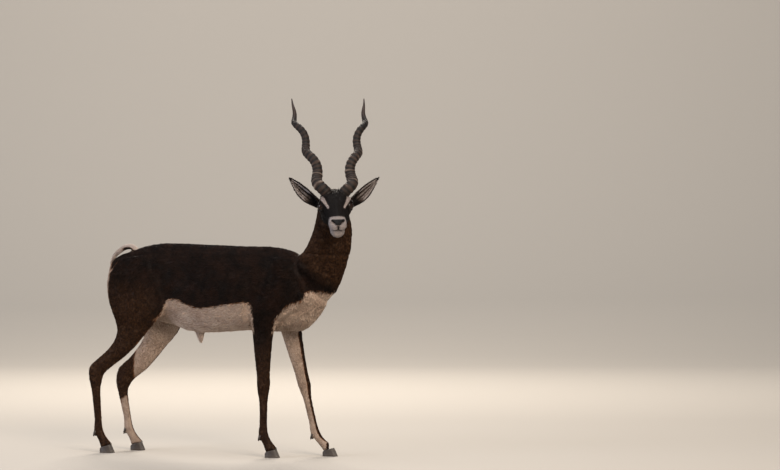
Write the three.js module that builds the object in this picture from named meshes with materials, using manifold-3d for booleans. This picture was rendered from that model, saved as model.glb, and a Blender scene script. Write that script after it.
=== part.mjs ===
// Blackbuck, adult male, standing, with its head turned to its right.
// Life size in millimetres: +X to the head end, +Y to the animal's left, +Z up, the floor at z = 0.
// The flesh is lofted whole from named sections, then parted into nodes by thin cuts.

import * as THREE from 'three';
import { LoftGeometry } from 'three/addons/geometries/LoftGeometry.js';
import { mergeVertices } from 'three/addons/utils/BufferGeometryUtils.js';
import Module from 'manifold-3d';

const wasm = await Module();
wasm.setup();

// Driving sizes of the whole animal
const WITHERS_HEIGHT = 757;
const CROUP_HEIGHT = 767;
const BELLY_HEIGHT = 443;
const BARREL_HALF_WIDTH = 106;
const GAP = 0.3;
const WELD = 0.001;

// Head: where the middle of the two eyes is, and how the head is turned
const EYES_AT = new THREE.Vector3(467, -100, 908);
const HEAD_YAW = THREE.MathUtils.degToRad(-64);
const HEAD_PITCH = THREE.MathUtils.degToRad(30);
const HEAD_ROLL = THREE.MathUtils.degToRad(1.5);
const EYE_RADIUS = 18.5;
const EYE_PLACE = new THREE.Vector3(4, 46, 8);

// Horns and ears
const HORN_RINGS = 26;
const HORN_RINGED_SHARE = 0.8;
const HORN_TURNS = 3.15;
const HORN_FIRST_TURN = THREE.MathUtils.degToRad(-40);
const HORN_HELIX_RADIUS = 9.5;
const HORN_RING_RISE = 1.9;
const HORN_SIDES = 9;
const EAR_LENGTH = 155;
const EAR_BOW = 8;
const EAR_WALL = 3;

// Legs: the left ones are set forward, the foreleg in proportion to the depth below a pivot
const FORE_PIVOT = 660;
const LEFT_FORE_SWING = 0.265;
const FORE_REACH = 175;
const LEFT_HIND_STEP = 60;

// Hooves
const HOOF_HEIGHT = 31;
const HOOF_HEEL_HEIGHT = 19;
const HOOF_LENGTH = 54;
const TOE_WIDTH = 16.5;
const CLEFT = 2.4;

// Tail
const TAIL_LOCKS = 10;
const RANDOM_SEED = 11;

// The middle of the whole in X and Y, which is set over the origin
const MIDDLE_X = 40.6;
const MIDDLE_Y = 8.6;

// Colours of the coat, skin and horn
const DARK_COAT = 0x2c1b13;
const NECK_COAT = 0x33231b;
const PALE_COAT = 0xcfc4ba;
const LEG_COAT = 0x4a382b;
const HORN_COLOUR = 0x4b423c;
const HOOF_COLOUR = 0x1d1a19;
const EYE_COLOUR = 0x120c0a;
const EAR_COLOUR = 0x6b5d55;

function finish(colour, roughness) {
  return new THREE.MeshStandardMaterial({ color: colour, roughness, metalness: 0 });
}

const COAT_MATERIAL = finish(DARK_COAT, 0.85);
const NECK_MATERIAL = finish(NECK_COAT, 0.85);
const LEG_MATERIAL = finish(LEG_COAT, 0.85);
const TAIL_MATERIAL = finish(PALE_COAT, 0.9);
const EAR_MATERIAL = finish(EAR_COLOUR, 0.9);
const HORN_MATERIAL = finish(HORN_COLOUR, 0.55);
const HOOF_MATERIAL = finish(HOOF_COLOUR, 0.45);
const EYE_MATERIAL = finish(EYE_COLOUR, 0.08);

// A small seeded random number, so that every build is the same
let randomState = RANDOM_SEED;
function random() {
  randomState = (randomState * 1664525 + 1013904223) % 4294967296;
  return randomState / 4294967296;
}

// Solids: a closed geometry becomes a solid that can be joined and cut
function signedVolume(positions, index) {
  const a = new THREE.Vector3();
  const b = new THREE.Vector3();
  const c = new THREE.Vector3();
  let total = 0;
  for (let i = 0; i < index.length; i += 3) {
    a.fromArray(positions, 3 * index[i]);
    b.fromArray(positions, 3 * index[i + 1]);
    c.fromArray(positions, 3 * index[i + 2]);
    total += a.dot(b.cross(c)) / 6;
  }
  return total;
}

function solid(geometry) {
  geometry.deleteAttribute('normal');
  geometry.deleteAttribute('uv');
  const merged = mergeVertices(geometry, WELD);
  const positions = Float32Array.from(merged.getAttribute('position').array);
  const index = Uint32Array.from(merged.index.array);
  if (signedVolume(positions, index) < 0) {
    index.reverse();
  }
  return new wasm.Manifold(new wasm.Mesh({ numProp: 3, vertProperties: positions, triVerts: index }));
}

function join(pieces) {
  return pieces.reduce((whole, piece) => whole.add(piece));
}

// The largest closed body of a solid, which also fills a hollow that joining has sealed
function largest(whole) {
  const bodies = whole.decompose();
  bodies.sort((one, other) => other.volume() - one.volume());
  return bodies[0];
}

function geometryOf(body) {
  const mesh = body.getMesh();
  const geometry = new THREE.BufferGeometry();
  const positions = new Float32Array(mesh.numVert * 3);
  for (let i = 0; i < mesh.numVert; i += 1) {
    for (let axis = 0; axis < 3; axis += 1) {
      positions[3 * i + axis] = mesh.vertProperties[mesh.numProp * i + axis];
    }
  }
  geometry.setAttribute('position', new THREE.BufferAttribute(positions, 3));
  geometry.setIndex(new THREE.BufferAttribute(Uint32Array.from(mesh.triVerts), 1));
  return geometry;
}

// Sections: a rounded outline about a centre, that reaches up, down and to each side. A low
// squareness makes it squarer, and a high crown makes its upper half narrower
function roundedPower(value, squareness) {
  return Math.sign(value) * Math.abs(value) ** squareness;
}

function outline(centre, up, down, side, sides, squareness = 1, crown = squareness) {
  const points = [];
  for (let i = 0; i < sides; i += 1) {
    const angle = (2 * Math.PI * i) / sides;
    const rise = roundedPower(Math.cos(angle), squareness);
    const reach = roundedPower(Math.sin(angle), rise > 0 ? crown : squareness);
    const point = centre.clone().addScaledVector(side, reach);
    point.addScaledVector(rise > 0 ? up : down, Math.abs(rise));
    points.push(point);
  }
  return points;
}

// More sections between the named ones, on a smooth curve through each of their values
function smoothed(stations, steps) {
  const keys = Object.keys(stations[0]);
  const result = [];
  for (let i = 0; i < stations.length - 1; i += 1) {
    const before = stations[Math.max(i - 1, 0)];
    const start = stations[i];
    const end = stations[i + 1];
    const after = stations[Math.min(i + 2, stations.length - 1)];
    for (let step = 0; step < steps; step += 1) {
      const t = step / steps;
      const station = {};
      for (const key of keys) {
        station[key] = catmull(before[key], start[key], end[key], after[key], t);
      }
      result.push(station);
    }
  }
  result.push(stations[stations.length - 1]);
  return result;
}

function catmull(a, b, c, d, t) {
  const slope = 0.5 * (c - a);
  const next = 0.5 * (d - b);
  const square = t * t;
  const cube = square * t;
  return (2 * cube - 3 * square + 1) * b + (cube - 2 * square + t) * slope
    + (3 * square - 2 * cube) * c + (cube - square) * next;
}

// A loft's sections run the same way round, seen from its end, so that its faces point out
function loft(sections) {
  const [first, second] = sections;
  const normal = new THREE.Vector3();
  const onward = new THREE.Vector3();
  for (let i = 0; i < first.length; i += 1) {
    normal.add(first[i].clone().cross(first[(i + 1) % first.length]));
    onward.add(second[i]).sub(first[i]);
  }
  const rows = normal.dot(onward) > 0 ? sections : sections.map((row) => row.slice().reverse());
  const geometry = new LoftGeometry(rows, { closed: true, capStart: true, capEnd: true });
  return new THREE.BufferGeometry().copy(geometry);
}

function ellipsoid(at, radii, columns = 12, rows = 8) {
  const geometry = new THREE.SphereGeometry(1, columns, rows);
  geometry.scale(radii[0], radii[1], radii[2]);
  geometry.translate(at[0], at[1], at[2]);
  return geometry;
}

// Trunk: stations along the back, each with its top, its bottom, the level where it is
// widest and its half width
const TRUNK_SIDES = 20;
const TRUNK = [
  { x: -449, top: 672, bottom: 600, level: 636, wide: 24, crown: 1 },
  { x: -441, top: 696, bottom: 572, level: 634, wide: 43, crown: 1 },
  { x: -424, top: 712, bottom: 548, level: 632, wide: 60, crown: 1 },
  { x: -398, top: 727, bottom: 530, level: 633, wide: 73, crown: 1.02 },
  { x: -362, top: 740, bottom: 515, level: 635, wide: 81, crown: 1.05 },
  { x: -305, top: 757, bottom: 492, level: 635, wide: 88, crown: 1.1 },
  { x: -245, top: CROUP_HEIGHT, bottom: 480, level: 628, wide: 86, crown: 1.12 },
  { x: -190, top: CROUP_HEIGHT + 1, bottom: 466, level: 612, wide: 83, crown: 1.1 },
  { x: -140, top: CROUP_HEIGHT, bottom: 448, level: 600, wide: 90, crown: 1.05 },
  { x: -70, top: CROUP_HEIGHT - 2, bottom: BELLY_HEIGHT, level: 595, wide: 101, crown: 1.05 },
  { x: 10, top: 763, bottom: 448, level: 598, wide: BARREL_HALF_WIDTH, crown: 1.1 },
  { x: 90, top: 761, bottom: 454, level: 602, wide: 101, crown: 1.2 },
  { x: 160, top: 761, bottom: 455, level: 604, wide: 92, crown: 1.3 },
  { x: 215, top: WITHERS_HEIGHT, bottom: 453, level: 602, wide: 86, crown: 1.3 },
  { x: 265, top: 745, bottom: 455, level: 596, wide: 82, crown: 1.15 },
  { x: 310, top: 726, bottom: 467, level: 588, wide: 74, crown: 1 },
  { x: 346, top: 694, bottom: 496, level: 590, wide: 60, crown: 1 },
  { x: 376, top: 660, bottom: 532, level: 594, wide: 42, crown: 1 },
  { x: 398, top: 630, bottom: 566, level: 598, wide: 20, crown: 1 },
];

function trunk() {
  const sections = smoothed(TRUNK, 2).map((station) => outline(
    new THREE.Vector3(station.x, 0, station.level),
    new THREE.Vector3(0, 0, station.top - station.level),
    new THREE.Vector3(0, 0, station.bottom - station.level),
    new THREE.Vector3(0, station.wide, 0),
    TRUNK_SIDES,
    0.96,
    station.crown,
  ));
  return solid(loft(sections));
}

// A limb or the neck: each station has its front and back points in the side view, how far
// its middle is from the middle plane and its half width
function limbSections(stations, side, sides, steps) {
  return smoothed(stations, steps).map((station) => {
    const front = new THREE.Vector3(station.frontX, side * station.out, station.frontZ);
    const back = new THREE.Vector3(station.backX, side * station.out, station.backZ);
    const centre = front.clone().lerp(back, 0.5);
    return outline(
      centre,
      front.sub(centre),
      back.sub(centre),
      new THREE.Vector3(0, station.wide, 0),
      sides,
    );
  });
}

const NECK_SIDES = 18;
const NECK = [
  { frontX: 386, frontZ: 556, backX: 245, backZ: 688, out: 0, wide: 54 },
  { frontX: 434, frontZ: 606, backX: 280, backZ: 721, out: 0, wide: 70 },
  { frontX: 462, frontZ: 672, backX: 314, backZ: 751, out: 0, wide: 67 },
  { frontX: 480, frontZ: 736, backX: 334, backZ: 789, out: 0, wide: 61 },
  { frontX: 489, frontZ: 798, backX: 351, backZ: 833, out: 3, wide: 55 },
  { frontX: 491, frontZ: 852, backX: 365, backZ: 880, out: 12, wide: 51 },
  { frontX: 482, frontZ: 898, backX: 379, backZ: 927, out: 26, wide: 49 },
  { frontX: 462, frontZ: 928, backX: 398, backZ: 955, out: 38, wide: 42 },
];

function neck() {
  return solid(loft(limbSections(NECK, -1, NECK_SIDES, 2)));
}

// Legs, from inside the trunk down to the coronet of the hoof
const LEG_SIDES = 12;
const FORELEG = [
  { frontX: 262, frontZ: 722, backX: 182, backZ: 722, out: 34, wide: 22 },
  { frontX: 318, frontZ: 655, backX: 168, backZ: 655, out: 56, wide: 36 },
  { frontX: 345, frontZ: 590, backX: 140, backZ: 590, out: 62, wide: 41 },
  { frontX: 318, frontZ: 540, backX: 120, backZ: 545, out: 66, wide: 38 },
  { frontX: 248, frontZ: 498, backX: 126, backZ: 508, out: 69, wide: 31 },
  { frontX: 220, frontZ: 458, backX: 134, backZ: 462, out: 70, wide: 26 },
  { frontX: 211, frontZ: 400, backX: 139, backZ: 400, out: 69, wide: 22 },
  { frontX: 205, frontZ: 345, backX: 145, backZ: 345, out: 68, wide: 19 },
  { frontX: 201, frontZ: 298, backX: 151, backZ: 298, out: 67, wide: 18 },
  { frontX: 201, frontZ: 262, backX: 152, backZ: 262, out: 66, wide: 20 },
  { frontX: 196, frontZ: 234, backX: 155, backZ: 232, out: 66, wide: 16.5 },
  { frontX: 191, frontZ: 200, backX: 160, backZ: 200, out: 65, wide: 12.5 },
  { frontX: 189, frontZ: 118, backX: 160, backZ: 118, out: 64, wide: 11.5 },
  { frontX: 193, frontZ: 84, backX: 156, backZ: 78, out: 64, wide: 15.5 },
  { frontX: 206, frontZ: 58, backX: 173, backZ: 50, out: 64, wide: 14 },
];
const HIND_LEG = [
  { frontX: -246, frontZ: 730, backX: -398, backZ: 712, out: 40, wide: 34 },
  { frontX: -196, frontZ: 655, backX: -438, backZ: 657, out: 50, wide: 48 },
  { frontX: -182, frontZ: 588, backX: -444, backZ: 598, out: 53, wide: 50 },
  { frontX: -206, frontZ: 530, backX: -434, backZ: 550, out: 59, wide: 46 },
  { frontX: -245, frontZ: 485, backX: -412, backZ: 500, out: 64, wide: 40 },
  { frontX: -286, frontZ: 436, backX: -398, backZ: 452, out: 67, wide: 33 },
  { frontX: -326, frontZ: 389, backX: -412, backZ: 408, out: 69, wide: 27 },
  { frontX: -370, frontZ: 350, backX: -444, backZ: 370, out: 71, wide: 22 },
  { frontX: -420, frontZ: 314, backX: -482, backZ: 338, out: 72, wide: 19 },
  { frontX: -449, frontZ: 288, backX: -506, backZ: 312, out: 73, wide: 20 },
  { frontX: -459, frontZ: 258, backX: -506, backZ: 270, out: 73, wide: 19 },
  { frontX: -464, frontZ: 225, backX: -497, backZ: 228, out: 73, wide: 14 },
  { frontX: -459, frontZ: 120, backX: -486, backZ: 120, out: 72, wide: 11.5 },
  { frontX: -454, frontZ: 84, backX: -489, backZ: 78, out: 72, wide: 15 },
  { frontX: -440, frontZ: 57, backX: -472, backZ: 49, out: 72, wide: 14 },
];

// The left hind leg is set forward and is bent less at the stifle, so that its hock is lower
const LEFT_HIND_LEG = [
  { frontX: -246, frontZ: 730, backX: -398, backZ: 712, out: 40, wide: 34 },
  { frontX: -192, frontZ: 655, backX: -436, backZ: 657, out: 50, wide: 48 },
  { frontX: -172, frontZ: 588, backX: -438, backZ: 598, out: 53, wide: 50 },
  { frontX: -178, frontZ: 530, backX: -416, backZ: 552, out: 59, wide: 46 },
  { frontX: -192, frontZ: 482, backX: -378, backZ: 506, out: 64, wide: 40 },
  { frontX: -216, frontZ: 434, backX: -350, backZ: 462, out: 67, wide: 33 },
  { frontX: -256, frontZ: 391, backX: -352, backZ: 420, out: 69, wide: 27 },
  { frontX: -295, frontZ: 347, backX: -376, backZ: 381, out: 71, wide: 22 },
  { frontX: -340, frontZ: 300, backX: -413, backZ: 338, out: 72, wide: 19 },
  { frontX: -384, frontZ: 269, backX: -452, backZ: 303, out: 73, wide: 20 },
  { frontX: -408, frontZ: 241, backX: -463, backZ: 258, out: 73, wide: 19 },
  { frontX: -418, frontZ: 208, backX: -455, backZ: 214, out: 73, wide: 14 },
  { frontX: -404, frontZ: 120, backX: -432, backZ: 120, out: 72, wide: 11.5 },
  { frontX: -396, frontZ: 84, backX: -431, backZ: 78, out: 72, wide: 15 },
  { frontX: -381, frontZ: 57, backX: -413, backZ: 49, out: 72, wide: 14 },
];

// The left foreleg is set forward: each point moves in proportion to its depth below the
// pivot, up to the most that the leg moves
function foreShift(z) {
  return Math.min(LEFT_FORE_SWING * Math.max(FORE_PIVOT - z, 0), FORE_REACH);
}

const LEFT_FORELEG = FORELEG.map((station) => ({
  ...station,
  frontX: station.frontX + foreShift(station.frontZ),
  backX: station.backX + foreShift(station.backZ),
}));

// Each leg has its stations, the heel of its hoof and how far forward its root is cut
const HOOF_SLOPE = (HOOF_HEIGHT - HOOF_HEEL_HEIGHT) / 40;
const FORE_HEEL = 183;
const HIND_HEEL = -463;
const FORE = { fore: true, stations: FORELEG, heel: FORE_HEEL, hoofOut: 64, shift: 0 };
const HIND = { fore: false, stations: HIND_LEG, heel: HIND_HEEL, hoofOut: 72, shift: 0 };
const LEGS = [
  { ...FORE, name: 'foreleg_right', side: -1 },
  {
    ...FORE,
    name: 'foreleg_left',
    side: 1,
    stations: LEFT_FORELEG,
    heel: FORE_HEEL + foreShift(0),
    shift: 24,
  },
  { ...HIND, name: 'hind_leg_right', side: -1 },
  {
    ...HIND,
    name: 'hind_leg_left',
    side: 1,
    stations: LEFT_HIND_LEG,
    heel: HIND_HEEL + LEFT_HIND_STEP,
    shift: 14,
  },
];

// The last section of a leg lies on the slanted top of its hoof, a gap above it
function coronet(leg) {
  const back = 2;
  const front = 45;
  return {
    frontX: leg.heel + front,
    frontZ: HOOF_HEEL_HEIGHT + HOOF_SLOPE * front + GAP,
    backX: leg.heel + back,
    backZ: HOOF_HEEL_HEIGHT + HOOF_SLOPE * back + GAP,
    out: leg.hoofOut,
    wide: TOE_WIDTH,
  };
}

// Where the nodes are parted
const HEAD_CUT_LOW = [-60, -150, -87];
const HEAD_CUT_HIGH = [220, 150, 200];
const NECK_PLANE = { x: 363, z: 669, turn: THREE.MathUtils.degToRad(37) };
const FORE_ROOT = { slant: 0.25, out: 22, z: 470, lowX: 106, highX: 352 };
const HIND_ROOT = { slant: 0.29, out: 18, z: 460, lowX: -620, highX: -172 };
const KNEE_CUT = 236;
const HOCK_CUT = 250;

function planeMatrix(plane) {
  const matrix = new THREE.Matrix4().makeRotationY(plane.turn);
  return matrix.setPosition(plane.x, 0, plane.z);
}

// Cuts: a box, turned by a matrix, whose faces are the planes that a node is parted along
function cutter(low, high, matrix, grow) {
  const size = high.map((value, axis) => value - low[axis] + 2 * grow);
  const geometry = new THREE.BoxGeometry(size[0], size[1], size[2]);
  geometry.translate(...high.map((value, axis) => (value + low[axis]) / 2));
  geometry.applyMatrix4(matrix);
  return solid(geometry);
}

// What is inside a cut, and what is outside it and a gap away
function parted(whole, cut) {
  return [whole.intersect(cut(0)), whole.subtract(cut(GAP))];
}

function box(low, high, matrix = new THREE.Matrix4()) {
  return (grow) => cutter(low, high, matrix, grow);
}

// Head, in its own frame: x to the nose, y to its left, z up, the middle of the eyes at 0
const HEAD_SIDES = 14;
const SKULL = [
  { x: -95, top: 8, bottom: -35, level: -12, wide: 22 },
  { x: -82, top: 28, bottom: -52, level: -10, wide: 38 },
  { x: -58, top: 43, bottom: -64, level: -6, wide: 49 },
  { x: -32, top: 51, bottom: -66, level: -2, wide: 54 },
  { x: -8, top: 52, bottom: -62, level: 2, wide: 58 },
  { x: 14, top: 47, bottom: -55, level: 0, wide: 53 },
  { x: 34, top: 39, bottom: -47, level: -8, wide: 44 },
  { x: 54, top: 32, bottom: -40, level: -10, wide: 37 },
  { x: 74, top: 26, bottom: -34, level: -12, wide: 32.5 },
  { x: 94, top: 21, bottom: -25, level: -12, wide: 31.5 },
  { x: 110, top: 18, bottom: -21, level: -11, wide: 31 },
  { x: 121, top: 14, bottom: -19.5, level: -10, wide: 27.5 },
  { x: 128, top: 8, bottom: -17, level: -7, wide: 20.5 },
  { x: 132, top: 0, bottom: -13, level: -6, wide: 11 },
];
const JAW_SIDES = 12;
const JAW = [
  { x: -54, top: -20, bottom: -74, level: -48, wide: 34 },
  { x: -28, top: -18, bottom: -83, level: -48, wide: 45 },
  { x: 2, top: -16, bottom: -76, level: -44, wide: 43 },
  { x: 32, top: -16, bottom: -68, level: -40, wide: 36 },
  { x: 60, top: -17, bottom: -61, level: -36, wide: 28.5 },
  { x: 85, top: -15, bottom: -60, level: -31, wide: 27.5 },
  { x: 103, top: -14.5, bottom: -60, level: -28, wide: 26.5 },
  { x: 114, top: -15, bottom: -57, level: -27, wide: 23 },
  { x: 121, top: -19, bottom: -48, level: -29, wide: 13.5 },
];
const MOUTH_LEVEL = -18.5;
const MOUTH_OPEN = 2;
const MOUTH_DEPTH = 6;
const MOUTH_CORNER = 74;
const NOSTRIL_AT = [118, 18, 10];
const NOSTRIL_RADII = [9, 6.5, 3.8];
const NOSTRIL_TURN = THREE.MathUtils.degToRad(-28);

function headSection(station, sides) {
  return outline(
    new THREE.Vector3(station.x, 0, station.level),
    new THREE.Vector3(0, 0, station.top - station.level),
    new THREE.Vector3(0, 0, station.bottom - station.level),
    new THREE.Vector3(0, station.wide, 0),
    sides,
    0.9,
  );
}

// The line of the mouth: a thin slab that cuts all round the muzzle but leaves its core
function mouthLine() {
  const settings = { depth: MOUTH_OPEN, bevelEnabled: false, curveSegments: 8 };
  const across = 44;
  const front = new THREE.Shape();
  front.moveTo(MOUTH_CORNER, -across);
  front.lineTo(MOUTH_CORNER + 66, -across);
  front.lineTo(MOUTH_CORNER + 66, across);
  front.lineTo(MOUTH_CORNER, across);
  front.closePath();
  const core = new THREE.Path();
  core.absellipse(MOUTH_CORNER + 8, 0, 50 - MOUTH_DEPTH, 33 - MOUTH_DEPTH, 0, 2 * Math.PI);
  const slab = solid(new THREE.ExtrudeGeometry(front, settings));
  const inner = new THREE.Shape(core.getPoints(10));
  const kept = solid(new THREE.ExtrudeGeometry(inner, { ...settings, depth: 3 * MOUTH_OPEN }));
  const ring = slab.subtract(kept.translate([0, 0, -MOUTH_OPEN]));
  return ring.translate([0, 0, MOUTH_LEVEL - MOUTH_OPEN / 2]);
}

// A nostril: a flat oval hollow, higher at its outer end
function nostril(side) {
  const geometry = ellipsoid([0, 0, 0], NOSTRIL_RADII, 10, 6);
  geometry.rotateZ(side * THREE.MathUtils.degToRad(-40));
  geometry.rotateX(side * NOSTRIL_TURN * -1);
  const [x, y, z] = NOSTRIL_AT;
  geometry.translate(x, side * y, z);
  return solid(geometry);
}

// An eyelid: a tapered roll of skin over or under the eyeball, from corner to corner
const LID_STEPS = 6;
const LID_REACH = 21;

function eyelid(side, upper) {
  const sections = [];
  for (let i = 0; i <= LID_STEPS; i += 1) {
    const along = (i / LID_STEPS) * 2 - 1;
    const arch = 1 - along * along;
    const rise = arch * (upper ? 13 : -12.5);
    const stand = Math.sqrt(Math.max(1 - 0.8 * along * along, 0)) * (upper ? 13.5 : 11.5);
    const point = new THREE.Vector3(
      EYE_PLACE.x + LID_REACH * along,
      side * (EYE_PLACE.y + stand - 1),
      EYE_PLACE.z + rise - along * 3,
    );
    const size = 2.2 + 2.6 * arch;
    const up = new THREE.Vector3(0, 0, size);
    sections.push(outline(point, up, up.clone().negate(), new THREE.Vector3(0, size * 1.4, 0), 6));
  }
  return solid(loft(sections));
}

// Horn: a curved axis, with the horn winding round it in a corkscrew, and rings across it.
// Its frame is level: x forward as the head faces, y outward, z up from the middle of the eyes
const HORN_AXIS = [
  [-5, 27, 43],
  [-12, 49, 78],
  [-58, 66, 130],
  [-112, 82, 190],
  [-168, 104, 250],
  [-216, 120, 300],
  [-256, 128, 343],
  [-296, 132, 387],
];
const HORN_GIRTH = [
  [0, 21],
  [0.12, 19],
  [0.3, 16.4],
  [0.5, 13.8],
  [0.66, 12.2],
  [0.78, 9.6],
  [0.88, 6.3],
  [1, 1.6],
];

function alongTable(table, at) {
  let i = 0;
  while (i < table.length - 2 && table[i + 1][0] < at) {
    i += 1;
  }
  const share = (at - table[i][0]) / (table[i + 1][0] - table[i][0]);
  return THREE.MathUtils.lerp(table[i][1], table[i + 1][1], THREE.MathUtils.clamp(share, 0, 1));
}

function hornPoint(curve, at) {
  const point = curve.getPointAt(at);
  const tangent = curve.getTangentAt(at);
  const out = new THREE.Vector3(0, 1, 0).addScaledVector(tangent, -tangent.y).normalize();
  const fore = out.clone().cross(tangent).normalize();
  const wound = HORN_HELIX_RADIUS * THREE.MathUtils.smoothstep(at, 0, 0.1)
    * (1 - THREE.MathUtils.smoothstep(at, 0.72, 0.96));
  const phase = 2 * Math.PI * HORN_TURNS * at + HORN_FIRST_TURN;
  point.addScaledVector(fore, wound * Math.cos(phase));
  return point.addScaledVector(out, wound * Math.sin(phase));
}

// Where the sections of a horn lie: a groove, a rising shoulder and a ridge for each ring
function hornSteps() {
  const steps = [];
  for (let ring = 0; ring < HORN_RINGS; ring += 1) {
    const start = (ring / HORN_RINGS) ** 1.08 * HORN_RINGED_SHARE;
    const end = ((ring + 1) / HORN_RINGS) ** 1.08 * HORN_RINGED_SHARE;
    const fade = 1 - 0.75 * (ring / HORN_RINGS) ** 3;
    steps.push({ at: start, rise: 0 });
    steps.push({ at: start + (end - start) * 0.38, rise: HORN_RING_RISE * fade });
    steps.push({ at: start + (end - start) * 0.72, rise: HORN_RING_RISE * fade });
  }
  for (const at of [0.8, 0.84, 0.88, 0.92, 0.96, 1]) {
    steps.push({ at, rise: 0 });
  }
  return steps;
}

function horn(side, grow) {
  const curve = new THREE.CatmullRomCurve3(HORN_AXIS.map((point) => new THREE.Vector3(...point)));
  const sections = hornSteps().map((step) => {
    const point = hornPoint(curve, step.at);
    const before = hornPoint(curve, Math.max(step.at - 0.01, 0));
    const after = hornPoint(curve, Math.min(step.at + 0.01, 1));
    const tangent = after.sub(before).normalize();
    const across = new THREE.Vector3(0, 1, 0).addScaledVector(tangent, -tangent.y).normalize();
    const over = tangent.clone().cross(across);
    const radius = alongTable(HORN_GIRTH, step.at) + step.rise + grow;
    across.multiplyScalar(radius);
    over.multiplyScalar(radius);
    const points = outline(point, over, over.clone().negate(), across, HORN_SIDES);
    return points.map((corner) => new THREE.Vector3(corner.x, side * corner.y, corner.z));
  });
  return solid(loft(sections));
}

// Ear: a leaf rolled to a tube at its root, as crescent sections between an outer and an
// inner face, that bows down. Its frame: x along it, y up across it, z the way its cup opens
const EAR_ROWS = [
  { x: 0, half: 13, roll: 2.7 },
  { x: 0.1, half: 15, roll: 2.5 },
  { x: 0.22, half: 18, roll: 2.1 },
  { x: 0.38, half: 21.5, roll: 1.75 },
  { x: 0.55, half: 22, roll: 1.5 },
  { x: 0.72, half: 18.5, roll: 1.3 },
  { x: 0.86, half: 12, roll: 1.15 },
  { x: 0.95, half: 6, roll: 1 },
  { x: 1, half: 2, roll: 0.9 },
];
const EAR_ARC_POINTS = 8;
const EAR_STUB = 20;
const EAR_ROOT = new THREE.Vector3(-42, 46, 3);
const EAR_TIP = new THREE.Vector3(-54, 167, 109);

function earSection(row) {
  const outer = [];
  const inner = [];
  const wall = Math.min(EAR_WALL, row.half * 0.6);
  for (let i = 0; i < EAR_ARC_POINTS; i += 1) {
    const angle = (i / (EAR_ARC_POINTS - 1) - 0.5) * 2 * row.roll;
    const radius = row.half;
    const depth = radius * (0.9 + 0.1 * row.roll);
    const x = row.x * EAR_LENGTH;
    const bow = EAR_BOW * Math.sin(Math.PI * row.x);
    outer.push(new THREE.Vector3(x, radius * Math.sin(angle) - bow, -depth * Math.cos(angle)));
    const edge = 1 - 0.5 * Math.abs(angle / row.roll) ** 4;
    const small = radius - wall * edge;
    inner.push(new THREE.Vector3(
      x,
      small * Math.sin(angle * 0.97) - bow,
      -(depth - wall * edge) * Math.cos(angle * 0.97),
    ));
  }
  return outer.concat(inner.reverse());
}

// The frame of an ear: its length from root to tip, its cup turned forward and a little down
function earMatrix(side) {
  const root = EAR_ROOT.clone();
  const along = EAR_TIP.clone().sub(root).normalize();
  const opens = new THREE.Vector3(0.93, 0.25, -0.22);
  opens.addScaledVector(along, -opens.dot(along)).normalize();
  const across = opens.clone().cross(along);
  const matrix = new THREE.Matrix4().makeBasis(along, across, opens);
  matrix.setPosition(root);
  return new THREE.Matrix4().makeScale(1, side, 1).multiply(matrix);
}

function ear(side) {
  const geometry = loft(EAR_ROWS.map(earSection));
  geometry.applyMatrix4(earMatrix(side));
  return solid(geometry);
}

// Hoof: one toe of the cleft pair, a pointed wedge with a flat sole. Its frame: x to the
// toe's tip, y across, z up, with the heel of the sole at 0
const TOE_LEVELS = [
  { z: 0, grow: 0, back: 0 },
  { z: 3, grow: 0.6, back: 0.5 },
  { z: 14, grow: -0.4, back: -1 },
];

function toeOutline(grow, heel, length, side) {
  const points = [];
  const half = TOE_WIDTH / 2 + grow;
  const shape = [
    [0, 0.45], [0.12, 0.85], [0.35, 1], [0.6, 0.92], [0.82, 0.62], [1, 0.1],
  ];
  for (const [share, wide] of shape) {
    points.push([heel + share * length, half * wide]);
  }
  for (const [share, wide] of shape.slice().reverse()) {
    points.push([heel + share * length, -half * Math.min(wide, 0.75)]);
  }
  return points.map(([x, y]) => [x, side * y]);
}

function toe(side) {
  const centre = side * (TOE_WIDTH * 0.375 + CLEFT / 2);
  const rows = [];
  for (const level of TOE_LEVELS) {
    const length = HOOF_LENGTH - level.z * 0.55 - level.back;
    const points = toeOutline(level.grow, level.back + level.z * 0.1, length, side);
    rows.push(points.map(([x, y]) => new THREE.Vector3(x, centre + y, level.z)));
  }
  const top = toeOutline(-0.5, 4, 36, side);
  rows.push(top.map(([x, y]) => (
    new THREE.Vector3(x, centre + y, HOOF_HEEL_HEIGHT + HOOF_SLOPE * x)
  )));
  return solid(loft(rows));
}

// Dewclaw: a small blunt cone behind the fetlock, that points down and back
const DEWCLAW_Z = 74;
const DEWCLAW_INSET = 8;

function dewclaw(leg, side) {
  const profile = [
    new THREE.Vector2(0, -6),
    new THREE.Vector2(6, -6),
    new THREE.Vector2(5.2, 5),
    new THREE.Vector2(3, 11),
    new THREE.Vector2(0, 13),
  ];
  const geometry = new THREE.LatheGeometry(profile, 8);
  geometry.rotateX(Math.PI / 2);
  geometry.rotateY(THREE.MathUtils.degToRad(-140));
  const fetlock = leg.stations.find((station) => station.backZ < DEWCLAW_Z + 10);
  const x = fetlock.backX + DEWCLAW_INSET;
  geometry.translate(x, leg.side * fetlock.out + side * 9, DEWCLAW_Z);
  return solid(geometry);
}

// Tail: raised in an arch, flat, with a fringe of long tapered locks along both its edges
const TAIL_PATH = [
  [-332, 0, 722],
  [-351, 0, 744],
  [-371, -2, 757],
  [-393, -6, 752],
  [-413, -9, 739],
  [-430, -11, 725],
  [-442, -12, 706],
];
const TAIL_HALF_WIDTH = 13;
const TAIL_HALF_THICK = 7;

// A point along the tail's curve, or beyond its end
function tailPoint(curve, along) {
  const point = curve.getPointAt(Math.min(along, 1));
  const beyond = Math.max(along - 1, 0) * curve.getLength();
  return point.addScaledVector(curve.getTangentAt(1), beyond);
}

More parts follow.
